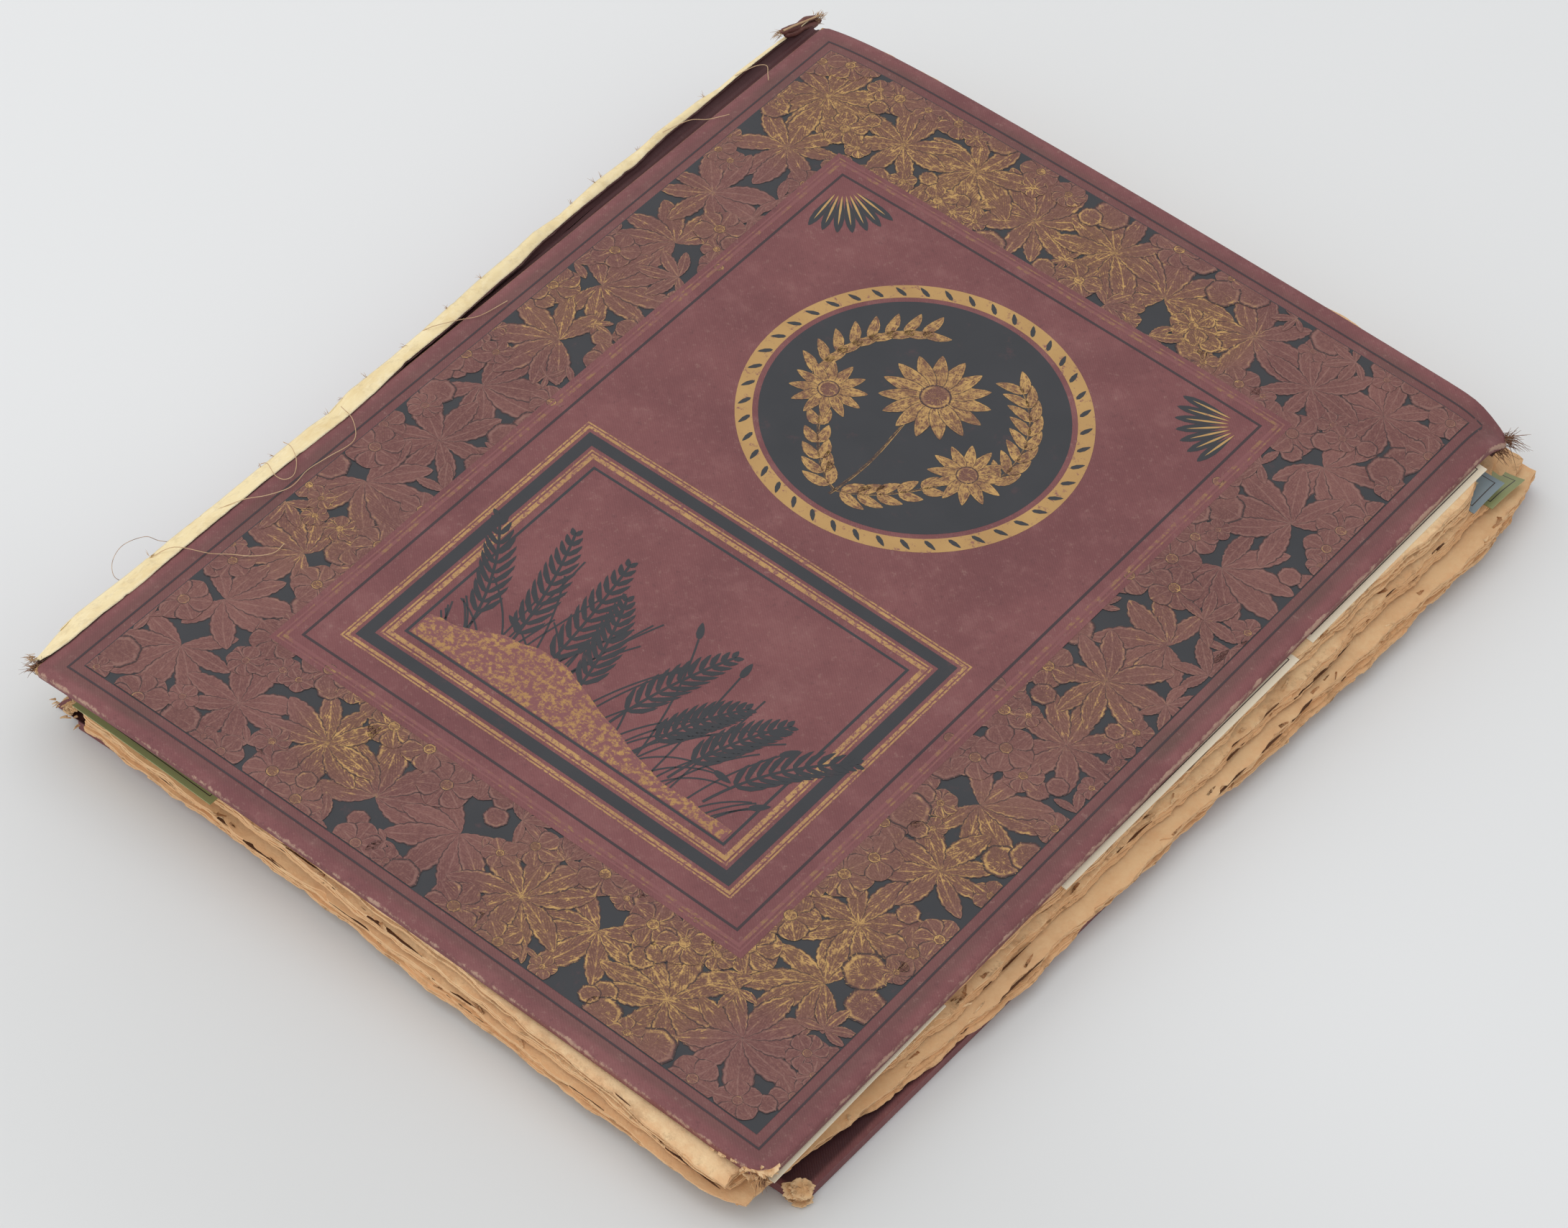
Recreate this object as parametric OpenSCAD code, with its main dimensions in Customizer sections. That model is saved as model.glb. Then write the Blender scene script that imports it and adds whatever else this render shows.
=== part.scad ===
// Album for trade cards: cloth over boards, torn leaves sewn on tapes through paper guards.
// It lies on its back cover: +X runs from the spine to the fore edge, +Y from the tail to the head.
// The origin is the middle of the back cover's underside.

/* [Covers] */
// Width of each board, from the joint to the fore edge
board_w = 244; // [200:1:300]
// Length of each board, from tail to head
board_l = 330; // [280:1:380]
// Thickness of each board
board_t = 2.2; // [1.6:0.1:3]
// Thickness of the cloth
cloth_t = 0.4; // [0.3:0.05:0.6]
// Width of the cloth turned in round each board
turn_in = 15; // [10:1:25]
// Radius of the worn board corners
corner_r = 4; // [1:0.5:8]
// Thickness of the papers pasted inside the covers
lining_t = 0.3; // [0.2:0.05:0.35]
// Width of the cloth joint between board and spine
joint_w = 10; // [9:0.5:12]
// How far the front cover has slipped towards the spine
front_slip_x = 4.5; // [3:0.5:6]
// How far the front cover has slipped towards the tail
front_slip_y = 9.5; // [0:0.5:12]

/* [Shape of the bent front cover] */
// Height of the cover's plane over the table at the spine, tail end
height_tail = 29; // [28.5:0.5:36]
// Extra height of the same plane at the head
rise_head = 12.5; // [8:0.5:14]
// Drop of the same plane from spine to fore edge
drop_fore = 12.5; // [8:0.5:12.5]
// Height of the crown across the board
crown = 1.7; // [0:0.1:4]
// Sag of the board along the joint at the tail
sag_tail = 1.2; // [1:0.1:2]
// Sag of the board along the joint at the head
sag_head = 4.6; // [4:0.1:6]
// Reach of that sag from the joint
sag_reach = 16; // [10:1:24]
// Droop of the worn corner at the head and fore edge
corner_droop = 6.5; // [3:0.5:7]
// Reach of that droop
droop_reach = 6; // [4:1:12]

/* [Leaves] */
// Number of leaves
leaf_count = 10; // [6:1:12]
// Thickness of a leaf
leaf_t = 0.45; // [0.3:0.05:0.5]
// Width of a leaf from its guard to the fore edge
leaf_w = 238; // [190:1:240]
// Length of a leaf from tail to head
leaf_l = 334; // [270:1:340]
// How much further the lowest leaf has crept out at the fore edge
creep = 9; // [0:1:12]
// How far the leaves have slipped towards the tail at the fore edge
skew_y = 14; // [0:1:16]
// How much further they reach at the head than at the tail
skew_x = 8; // [0:1:10]
// Depth of the tears in the leaf edges
tear = 2.2; // [0.5:0.1:3]
// Depth broken away at the corner of tail and fore edge
broken = 16; // [0:1:24]
// Length of that break along the fore edge
broken_l = 115; // [60:5:150]
// Thickness of a mounted card
card_t = 0.25; // [0.15:0.05:0.3]
// Long side of a mounted card
card_l = 108; // [80:1:115]
// Short side of a mounted card
card_w = 70; // [50:1:76]
// How far the loose cards of the first leaf have slipped out at the fore edge
card_slip = 15; // [0:1:18]

/* [Sewing and spine] */
// Width of the folded guards that hold the leaves
guard_w = 8; // [6:0.5:12]
// Thickness of a folded guard
guard_t = 1.4; // [1:0.1:1.5]
// How much shorter the guards are than the leaves
guard_short = 22; // [14:1:40]
// Number of sewing tapes
tape_count = 4; // [3:1:5]
// Width of a sewing tape
tape_w = 12; // [8:1:16]
// Thickness of a sewing tape
tape_t = 0.35; // [0.25:0.05:0.5]
// Radius of the sewing thread
thread_r = 0.25; // [0.15:0.05:0.3]
// Thickness of the gauze and of the paper on the sewn back
backing_t = 0.25; // [0.2:0.05:0.35]
// How far the paper on the sewn back stops short of the tail
lining_short_tail = 6; // [3:1:20]
// How far the paper on the sewn back stops short of the head
lining_short_head = 22; // [12:1:40]
// How much further in the gauze stops at both ends
gauze_short = 14; // [4:1:30]
// How far the worn cloth in the front joint stops short of the board at both ends
joint_short = 6; // [2:1:20]
// Thickness of the card that stiffens the spine
liner_t = 0.8; // [0.6:0.1:1.2]
// How far the torn spine stands above the joint line
spine_over = 2.8; // [1:0.1:5]
// How much deeper it is torn at the tail
spine_torn_tail = 7.5; // [3:0.5:9]
// How much deeper it is torn at the head
spine_torn_head = 2.5; // [0:0.5:5]
// Width of the cloth left beside the front board at the head
joint_left = 4.6; // [3:0.1:4.8]
// Gap between neighbours that turn past each other
gap = 0.4; // [0.3:0.05:0.5]

/* [Hidden] */
// How far in from the front cover's edge the leaves begin
leaf_inset = 9;
// How far out from that edge the cover's joint line lies
axis_out = 3;
// How far the leaves end short of their length at the head
head_short = 12;
// Room over the block of leaves at the joint
block_room = 3;
// How much less the block falls towards the fore edge than the cover does
block_ease = 2.3;
// Surfaces laid together inside one body are parted by this paste layer
paste = 0.05;
$fn = 32;

LEAVES = [for (k = [1 : leaf_count]) str("leaf_", k < 10 ? "0" : "", k)];
CARDS = [for (k = [1 : leaf_count]) str("cards_", k < 10 ? "0" : "", k)];

// Places along X: zero is the outer side of the sewn back, and the back joint starts outside it
cover_t = board_t + 2 * cloth_t;
joint_out = 4;
back_x0 = joint_w - joint_out;
back_x1 = back_x0 + board_w;
front_x0 = back_x0 - front_slip_x;
front_x1 = front_x0 + board_w;
front_y0 = -front_slip_y;
front_y1 = front_y0 + board_l;
centre = [back_x0 + board_w / 2, board_l / 2, 0];

// The joint line on which the front cover and the leaves turn
axis_x = front_x0 - axis_out;
axis_z_tail = height_tail - sag_tail - cover_t / 2;
axis_z_head = axis_z_tail + rise_head - (sag_head - sag_tail);
axis_slope = (axis_z_head - axis_z_tail) / board_l;
axis_tilt = atan(axis_slope);

// The block of leaves lies between a level plane and one that follows the front cover
leaf_x0 = front_x0 + leaf_inset;
guard_x0 = leaf_x0 - gap - guard_w;
endpaper_z = cover_t + gap;
block_z0 = endpaper_z + lining_t + gap;
block_drop = guard_t + block_room;
block_z1 = axis_z_tail - block_drop;
block_fall = drop_fore - block_ease;
back_drop = block_drop - guard_t + 0.1;
guard_y0 = 2;
tape_in_tail = 40;
tape_in_head = 60;

// The torn spine stands on the back joint and turns on the fold at its foot
spine_in_x = -joint_out - gap;
hinge_z = liner_t + cloth_t;
spine_z0 = hinge_z / 2;
spine_y0 = 2;
spine_y1 = front_y1 + 1;

// Margins round the cards on a leaf
card_in = 4;
card_fore = 10;
card_tail = 20;
card_head = 40;

// Cloth, card and paper colours
maroon = [0.46, 0.27, 0.28];
oxblood = [0.26, 0.11, 0.12];
cream = [0.90, 0.83, 0.62];
tan_paper = [0.82, 0.68, 0.50];
card_white = [0.88, 0.84, 0.76];
board_grey = [0.62, 0.52, 0.40];
linen = [0.78, 0.72, 0.60];

function mix(a, b, t) = a + (b - a) * t;
function smooth(t) = t * t * (3 - 2 * t);
function joint_z(y) = axis_z_tail + axis_slope * y;

// Uneven line of a torn edge, from -1 to 1, with s in millimetres
function torn(s, seed) =
    0.45 * sin(2.3 * s + 71 * seed) + 0.3 * sin(7.1 * s + 137 * seed) + 0.25 * sin(19.7 * s + 53 * seed);

// Height of the top of the front cover
function cover_z(x, y) =
    let (xr = x - front_x0,
         yr = y - front_y0,
         corner = (pow(board_w - xr, 2) + pow(board_l - yr, 2)) / (2 * droop_reach * droop_reach))
    height_tail - drop_fore * xr / board_w + rise_head * yr / board_l
        + crown * sin(180 * xr / board_w)
        - mix(sag_tail, sag_head, yr / board_l) * exp(-xr / sag_reach)
        - corner_droop * exp(-corner);

// Flat plate with two rounded corners at the fore edge, from the joint to x1
module board_outline(x0, x1, y0, y1, r) {
    hull() {
        translate([x0, y0]) square([1, y1 - y0]);
        translate([x1 - r, y0 + r]) circle(r);
        translate([x1 - r, y1 - r]) circle(r);
    }
}

// Inset of the rounded corner at distance d from a board's end
function corner_inset(d, r) = d >= r ? 0 : r - sqrt(max(0, r * r - (r - d) * (r - d)));

// Grid lines that all sheets of the front cover share, closer together near its edges,
// so that the facets of one sheet lie parallel to those of the next
function grid_lines(lo, hi, n) = [for (i = [0 : n]) mix(lo, hi, (1 - cos(180 * i / n)) / 2)];
function within(lines, lo, hi, room) =
    concat([lo], [for (s = lines) if (s > lo + 1 && s < hi - 1 - room) s], [hi]);

// A sheet that follows the bent front cover, between two depths below its top face
module bent_sheet(x0, x1, y0, y1, depth_top, depth_low, r) {
    xs = within(grid_lines(front_x0, front_x1, 10), x0, x1, r);
    ys = within(grid_lines(front_y0, front_y1, 16), y0, y1, 0);
    nx = len(xs) - 1;
    ny = len(ys) - 1;
    function at(i, j) = [i == nx ? x1 - corner_inset(min(ys[j] - y0, y1 - ys[j]), r) : xs[i], ys[j]];
    function index(i, j, top) = (top ? 0 : (nx + 1) * (ny + 1)) + j * (nx + 1) + i;
    function at_depth(depth) = [for (j = [0 : ny]) for (i = [0 : nx])
        let (p = at(i, j)) [p[0], p[1], cover_z(p[0], p[1]) - depth]];
    top_points = at_depth(depth_top);
    low_points = at_depth(depth_low);
    top_faces = [for (j = [0 : ny - 1]) for (i = [0 : nx - 1]) each [
        [index(i, j, true), index(i, j + 1, true), index(i + 1, j + 1, true)],
        [index(i, j, true), index(i + 1, j + 1, true), index(i + 1, j, true)]]];
    low_faces = [for (j = [0 : ny - 1]) for (i = [0 : nx - 1]) each [
        [index(i, j, false), index(i + 1, j + 1, false), index(i, j + 1, false)],
        [index(i, j, false), index(i + 1, j, false), index(i + 1, j + 1, false)]]];
    side_x = [for (i = [0 : nx - 1]) each [
        [index(i, 0, true), index(i + 1, 0, true), index(i + 1, 0, false)],
        [index(i, 0, true), index(i + 1, 0, false), index(i, 0, false)],
        [index(i, ny, true), index(i + 1, ny, false), index(i + 1, ny, true)],
        [index(i, ny, true), index(i, ny, false), index(i + 1, ny, false)]]];
    side_y = [for (j = [0 : ny - 1]) each [
        [index(0, j, true), index(0, j + 1, false), index(0, j + 1, true)],
        [index(0, j, true), index(0, j, false), index(0, j + 1, false)],
        [index(nx, j, true), index(nx, j + 1, true), index(nx, j + 1, false)],
        [index(nx, j, true), index(nx, j + 1, false), index(nx, j, false)]]];
    polyhedron(concat(top_points, low_points), concat(top_faces, low_faces, side_x, side_y));
}

// Carries its children up to the plane of a leaf: level 0 is the lowest plane, 1 the highest
module on_plane(level, lift = 0) {
    fall = atan(block_fall / board_w) * level;
    rise = atan(axis_slope) * level;
    translate([front_x0, 0, mix(block_z0, block_z1 + lift, level)])
        rotate([rise, fall, 0])
            translate([-front_x0, 0, 0])
                children();
}

function leaf_level(k) = (leaf_count - k) / (leaf_count - 1);

// A leaf leaves its guard by the upper fold
leaf_lift = guard_t - leaf_t;

// Fore edge of leaf k: the lower leaves have crept out, and the tail corner is broken away
function fore_x(k, y) =
    leaf_x0 + leaf_w - creep / 3 + creep * k / leaf_count
        + skew_x * (y / board_l - 0.5)
        + tear * torn(y, k)
        - broken * pow(max(0, 1 - (y + 10) / broken_l), 1.3) * mix(0.4, 1, k / leaf_count)
        - (k <= 3 ? 24 : 5) * pow(max(0, (y - leaf_l + 45) / 35), 2);

// Tail and head edges of leaf k: the leaves have slipped towards the tail at the fore edge
function leaf_y0(k, x) = -1 - skew_y * (x - leaf_x0) / leaf_w + tear * 0.7 * torn(x, k + 20);
function leaf_y1(k, x) = leaf_l - head_short + 0.6 * k + tear * 0.6 * torn(x, k + 40);

module leaf_outline(k) {
    nx = 16;
    ny = 44;
    tail_y = 2 - skew_y;
    head_y = leaf_l - head_short;
    tail = [for (i = [0 : nx]) let (x = mix(leaf_x0, fore_x(k, tail_y) - 3, i / nx)) [x, leaf_y0(k, x)]];
    fore = [for (j = [1 : ny - 1]) let (y = mix(tail_y, head_y, j / ny)) [fore_x(k, y), y]];
    head = [for (i = [nx : -1 : 0]) let (x = mix(leaf_x0, fore_x(k, head_y) - 2, i / nx)) [x, leaf_y1(k, x)]];
    polygon(concat(tail, fore, head));
}

module leaf(k) {
    color(k == 1 ? oxblood : tan_paper)
        on_plane(leaf_level(k), leaf_lift)
            linear_extrude(leaf_t)
                leaf_outline(k);
}

// One mounted card, lying a little askew
module card(x, y, w, l, turn) {
    translate([x, y, leaf_t + paste])
        rotate([0, 0, turn])
            translate([-w / 2, -l / 2, 0])
                cube([w, l, card_t]);
}

// Cards on a leaf: flat rows on odd leaves, upright ones on even leaves
module cards(k) {
    upright = k % 2 == 0;
    w = upright ? card_w : card_l;
    l = upright ? card_l : card_w;
    columns = upright ? 3 : 2;
    rows = upright ? 2 : 3;
    turns = rands(-1.2, 1.2, columns * rows, 11 * k);
    x_step = (leaf_w - card_in - card_fore) / columns;
    y_step = (leaf_l - card_tail - card_head) / rows;
    color(card_white)
        on_plane(leaf_level(k), leaf_lift)
            for (i = [0 : columns - 1])
                for (j = [0 : rows - 1]) {
                    x = leaf_x0 + card_in + x_step * (i + 0.5);
                    slip = k == 1 && i == columns - 1 ? card_slip : 0;
                    card(x + slip, card_tail + y_step * (j + 0.5), w, l, turns[i * rows + j]);
                }
}

module back_board() {
    color(board_grey)
        translate([0, 0, cloth_t])
            linear_extrude(board_t)
                board_outline(back_x0, back_x1 - cloth_t, cloth_t, board_l - cloth_t, corner_r);
}

module back_cloth() {
    color(maroon)
        difference() {
            linear_extrude(cover_t)
                board_outline(back_x0, back_x1, 0, board_l, corner_r + cloth_t);
            translate([0, 0, cloth_t])
                linear_extrude(board_t)
                    board_outline(back_x0 - 1, back_x1 - cloth_t, cloth_t, board_l - cloth_t, corner_r);
            translate([back_x0 - 1, turn_in, cloth_t])
                cube([board_w - turn_in + 1, board_l - 2 * turn_in, cover_t]);
        }
}

module back_pastedown() {
    color(oxblood)
        translate([back_x0 + paste, turn_in + paste, cloth_t + board_t + paste])
            cube([board_w - turn_in - 2 * paste, board_l - 2 * turn_in - 2 * paste, lining_t]);
}

// Cloth that runs from the back board to the foot of the torn spine
module back_joint_cloth() {
    color(maroon)
        translate([-joint_out, joint_short / 3, 0])
            cube([joint_w - paste, board_l - 2 * joint_short / 3, cloth_t]);
}

module back_endpaper() {
    color(oxblood)
        translate([front_x0, 0, endpaper_z])
            cube([board_w - 2 * card_in, board_l - 2 * card_in, lining_t]);
}

// Folded paper strips, one for each leaf, with their folds towards the spine
module guards() {
    r = guard_t / 2;
    color(tan_paper)
        for (k = [1 : leaf_count])
            on_plane(leaf_level(k))
                translate([guard_x0 + r, guard_y0, r])
                    rotate([-90, 0, 0])
                        linear_extrude(leaf_l - guard_short)
                            difference() {
                                union() {
                                    circle(r);
                                    translate([0, -r]) square([guard_w - r, guard_t]);
                                }
                                translate([0, -guard_t / 8]) square([guard_w, guard_t / 4]);
                            }
}

// Height of guard k's underside at the sewn back
function guard_z(k, y) = mix(block_z0, block_z1 + axis_slope * y, leaf_level(k));
function tape_y(i) = mix(tape_in_tail, board_l - tape_in_head, i / (tape_count - 1));
tape_x1 = guard_x0 - paste;
thread_x = tape_x1 - tape_t - thread_r - paste;
gauze_x = thread_x - thread_r - paste;
lining_x = gauze_x - backing_t - paste;

// A sheet standing on the sewn back, with its top edge along the joint line
module back_sheet(x1, t, y0, y1, below) {
    z0 = joint_z(y0) - below;
    z1 = joint_z(y1) - below;
    translate([x1 - t, 0, 0])
        rotate([90, 0, 90])
            linear_extrude(t)
                polygon([[y0, block_z0], [y1, block_z0], [y1, z1], [y0, z0]]);
}

module sewing_tapes() {
    color(linen)
        for (i = [0 : tape_count - 1])
            back_sheet(tape_x1, tape_t, tape_y(i) - tape_w / 2, tape_y(i) + tape_w / 2, back_drop);
}

// Each leaf's thread crosses the tapes, and a chain of stitches ties the leaves at both ends
module sewing_threads() {
    reach = tape_w / 2 + 2;
    color(linen) {
        for (k = [1 : leaf_count])
            for (i = [0 : tape_count - 1])
                translate([thread_x, tape_y(i) - reach, guard_z(k, tape_y(i)) + guard_t / 2])
                    rotate([-90, 0, 0])
                        cylinder(r = thread_r, h = 2 * reach, $fn = 16);
        for (y = [lining_short_tail + gauze_short / 2, board_l - lining_short_head - gauze_short / 2])
            translate([tape_x1 - thread_r, y, block_z0])
                cylinder(r = thread_r, h = joint_z(y) - back_drop - block_z0, $fn = 16);
    }
}

module back_gauze() {
    color(linen)
        back_sheet(gauze_x, backing_t, lining_short_tail + gauze_short,
            board_l - lining_short_head - gauze_short, back_drop + 0.2);
}

module back_lining() {
    color(tan_paper)
        back_sheet(lining_x, backing_t, lining_short_tail, board_l - lining_short_head, back_drop);
}

// Gauze that holds the front cover: it rises outside the sewn back and runs in under the board
module front_gauze() {
    out = lining_x - backing_t - 2 * paste - axis_x;
    in = out + backing_t;
    under = front_x0 - axis_x + 1.4;
    top = -cover_t / 2 - gap;
    low = top - backing_t;
    bend = 0.3;
    y0 = lining_short_tail;
    l = board_l - lining_short_head - y0;
    color(linen)
        translate([axis_x, y0, joint_z(y0)])
            rotate([90 + axis_tilt, 0, 0])
                translate([0, 0, -l])
                    linear_extrude(l)
                        polygon([
                            [out, -back_drop], [out, top - bend], [out + bend, top], [under, top],
                            [under, low], [in + bend, low], [in, low - bend], [in, -back_drop]]);
}

// Cloth left in the front joint beside the board, torn off along the spine and narrower at the tail
module front_joint_cloth() {
    n = 40;
    y0 = front_y0 + joint_short;
    y1 = front_y1 - 1;
    x1 = front_x0 - paste - axis_x;
    torn_edge = [for (i = [0 : n])
        let (y = mix(y1, y0, i / n))
        [x1 - mix(0.8, joint_left, smooth((y - y0) / (y1 - y0))) - 0.25 * torn(2.3 * y, 7), y]];
    color(maroon)
        translate([axis_x, 0, joint_z(0) - cloth_t])
            rotate([axis_tilt, 0, 0])
                linear_extrude(cloth_t)
                    polygon(concat([[x1, y0], [x1, y1]], torn_edge));
}

// Upper edge of the torn spine, which is torn deeper at both ends
function spine_top(y) =
    joint_z(y) + spine_over
        - spine_torn_tail * exp(-(y - spine_y0) / 45)
        - spine_torn_head * exp(-(spine_y1 - y) / 20);

// Outline of the torn spine in the plane of its wall, with a ragged upper edge
module spine_outline(y0, y1, lower_by, seed) {
    n = 48;
    top = [for (i = [0 : n])
        let (y = mix(y1, y0, i / n))
        [y, spine_top(y) - lower_by + 0.6 * torn(1.7 * y, seed)]];
    polygon(concat([[y0, spine_z0], [y1, spine_z0]], top));
}

module spine_wall(x1, t) {
    translate([x1 - t, 0, 0])
        rotate([90, 0, 90])
            linear_extrude(t)
                children();
}

module spine_liner() {
    color(cream) spine_wall(spine_in_x, liner_t) spine_outline(spine_y0 + 2, spine_y1 - 3, 0, 3);
}

module spine_cloth() {
    color(maroon) spine_wall(spine_in_x - liner_t - paste, cloth_t) spine_outline(spine_y0, spine_y1, 0.8, 5);
}

module front_board() {
    edge = cloth_t + paste;
    color(board_grey)
        bent_sheet(front_x0, front_x1 - edge, front_y0 + edge, front_y1 - edge,
            edge, cloth_t + board_t - paste, corner_r);
}

module front_cloth() {
    open_x = front_x0 - gap;
    in = turn_in;
    color(maroon)
        difference() {
            bent_sheet(front_x0, front_x1, front_y0, front_y1, 0, cover_t, corner_r + cloth_t);
            bent_sheet(open_x, front_x1 - cloth_t, front_y0 + cloth_t, front_y1 - cloth_t,
                cloth_t, cloth_t + board_t, corner_r);
            bent_sheet(open_x, front_x1 - in, front_y0 + in, front_y1 - in,
                cloth_t + board_t / 2, cover_t + 1, 0);
        }
}

module front_pastedown() {
    in = turn_in + 6 * paste;
    color(oxblood)
        bent_sheet(front_x0 + 1, front_x1 - in, front_y0 + in, front_y1 - in,
            cloth_t + board_t + 2 * paste, cloth_t + board_t + lining_t, 0);
}

translate(-centre) {
    back_board();
    back_cloth();
    back_pastedown();
    back_joint_cloth();
    back_endpaper();
    guards();
    sewing_tapes();
    sewing_threads();
    back_gauze();
    back_lining();
    front_gauze();
    spine_liner();
    spine_cloth();
    front_board();
    front_cloth();
    front_pastedown();
    front_joint_cloth();
    for (k = [1 : leaf_count]) {
        leaf(k);
        cards(k);
    }
}
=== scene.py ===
"""Dresses the trade card album: cloth cover with printed border, torn leaves, cards and the bare spine."""

import random
from math import atan2, ceil, cos, exp, hypot, pi, radians, sin

import bmesh
import bpy
from mathutils import Matrix, Vector, noise
from mathutils.geometry import delaunay_2d_cdt


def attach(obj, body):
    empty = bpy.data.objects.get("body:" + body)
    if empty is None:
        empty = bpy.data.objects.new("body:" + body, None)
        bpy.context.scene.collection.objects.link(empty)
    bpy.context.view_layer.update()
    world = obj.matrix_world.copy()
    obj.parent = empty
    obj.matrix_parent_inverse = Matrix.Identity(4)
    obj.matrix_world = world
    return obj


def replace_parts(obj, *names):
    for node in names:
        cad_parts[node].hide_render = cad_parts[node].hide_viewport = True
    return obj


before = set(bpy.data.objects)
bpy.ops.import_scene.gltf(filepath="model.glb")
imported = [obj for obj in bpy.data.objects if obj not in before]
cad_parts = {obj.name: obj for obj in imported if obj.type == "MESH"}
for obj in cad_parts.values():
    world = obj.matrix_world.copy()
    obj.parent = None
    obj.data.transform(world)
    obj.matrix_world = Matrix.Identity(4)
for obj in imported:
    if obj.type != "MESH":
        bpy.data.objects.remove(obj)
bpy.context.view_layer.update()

# Sizes in millimetres, as in the CAD source, whose origin is the spine end of the back board's tail.
CENTRE = Vector((128, 165, 0))
BOARD_W = 244
BOARD_L = 330
COVER_T = 3.0
FRONT_X = 1.5
FRONT_Y = -9.5
LEAF_X = 10.5
LEAF_W = 238
BLOCK_Z = 4.3
LEAVES = 10

# The bent front cover: its height at the tail of the spine, its slope both ways, its crown, how far it sags
# at the spine, and how far its corner droops at the fore edge's head.
FRONT_Z = 29
SLOPE = 12.5
CROWN = 1.7
SAG_TAIL = 1.2
SAG_MORE = 3.4
SAG_REACH = 16
DROOP = 6.5
DROOP_REACH = 72
FULL_TURN = 2 * pi


def place(x, y, z):
    """A point of the CAD source in the scene's metres."""
    return ((x - CENTRE.x) / 1000, (y - CENTRE.y) / 1000, z / 1000)


def rough(x, y=0.0, z=0.0):
    """Smooth noise from -1 to 1."""
    return noise.noise((x, y, z))


def clamp(value, low=0.0, high=1.0):
    return max(low, min(high, value))


def blend_in(value, start, end):
    """0 before start, 1 after end, smooth between."""
    t = clamp((value - start) / (end - start))
    return t * t * (3 - 2 * t)


def turned(centre, along, across, angle):
    """A point given along and across a direction that leaves a centre."""
    return (
        centre[0] + along * cos(angle) - across * sin(angle),
        centre[1] + along * sin(angle) + across * cos(angle),
    )


def around(centre, radius, angle):
    return turned(centre, radius, 0, angle)


def heading_of(a, b):
    return atan2(b[1] - a[1], b[0] - a[0])


def shrunk(box, inset):
    """A rectangle, given as left, low, right and high, drawn in on all sides."""
    return (box[0] + inset, box[1] + inset, box[2] - inset, box[3] - inset)


def cover_top(x, y):
    """Height of the bent front cover's upper face."""
    u = x - FRONT_X
    v = y - FRONT_Y
    far = (BOARD_W - u) ** 2 + (BOARD_L - v) ** 2
    slope = FRONT_Z - SLOPE * u / BOARD_W + SLOPE * v / BOARD_L
    crown = CROWN * sin(pi * u / BOARD_W)
    sag = (SAG_TAIL + SAG_MORE * v / BOARD_L) * exp(-u / SAG_REACH)
    return slope + crown - sag - DROOP * exp(-far / DROOP_REACH)


class Skin:
    """Points, faces and per-point values that become one object."""

    def __init__(self):
        self.points = []
        self.faces = []
        self.tones = []
        self.spots = []

    def add(self, point, tone, spot=(0, 0)):
        self.points.append(place(*point))
        self.tones.append(tone)
        self.spots.append(spot)
        return len(self.points) - 1

    def grid(self, rows, columns, make):
        """make(i, j) gives (point, tone, spot)."""
        first = len(self.points)
        for i in range(rows):
            for j in range(columns):
                self.add(*make(i, j))
        for i in range(rows - 1):
            a = first + i * columns
            b = a + columns
            for j in range(columns - 1):
                self.faces.append((a + j, a + j + 1, b + j + 1, b + j))
        return first

    def doubled(self, rows, columns, face, under):
        """A thin strip: face(0) and face(under) make its two sides, and both long rims are closed."""
        a = self.grid(rows, columns, face(0.0))
        b = self.grid(rows, columns, face(under))
        for i in range(rows - 1):
            for j in (0, columns - 1):
                p = i * columns + j
                self.faces.append((a + p, a + p + columns, b + p + columns, b + p))

    def build(self, name, body, material, smooth=True):
        mesh = bpy.data.meshes.new(name)
        mesh.from_pydata(self.points, [], self.faces)
        tone = mesh.color_attributes.new("tone", "FLOAT_COLOR", "POINT")
        tone.data.foreach_set("color", [c for t in self.tones for c in (*t, 1)])
        spots = mesh.uv_layers.new(name="spot")
        spots.data.foreach_set("uv", [c for loop in mesh.loops for c in self.spots[loop.vertex_index]])
        mesh.polygons.foreach_set("use_smooth", [smooth] * len(mesh.polygons))
        mesh.update()
        obj = bpy.data.objects.new(name, mesh)
        bpy.context.collection.objects.link(obj)
        mesh.materials.append(material)
        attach(obj, body)
        return obj


def colour(r, g, b):
    """Linear colour of 8-bit screen values."""
    def linear(c):
        c /= 255
        return c / 12.92 if c <= 0.04045 else ((c + 0.055) / 1.055) ** 2.4
    return (linear(r), linear(g), linear(b), 1)


class Nodes:
    """A node tree to which nodes are added one by one."""

    def __init__(self, tree):
        self.tree = tree

    def feed(self, socket, value):
        if isinstance(value, bpy.types.NodeSocket):
            self.tree.links.new(value, socket)
        else:
            socket.default_value = value

    def node(self, kind, inputs=(), **options):
        """Adds a node with these inputs, by name or number, and gives its outputs."""
        made = self.tree.nodes.new("ShaderNode" + kind)
        for key, value in options.items():
            setattr(made, key, value)
        for key, value in dict(inputs).items():
            self.feed(made.inputs[key], value)
        return made.outputs

    def math(self, operation, *values):
        return self.node("Math", enumerate(values), operation=operation)[0]

    def times(self, a, b):
        return self.math("MULTIPLY", a, b)

    def plus(self, a, b):
        return self.math("ADD", a, b)


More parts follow.
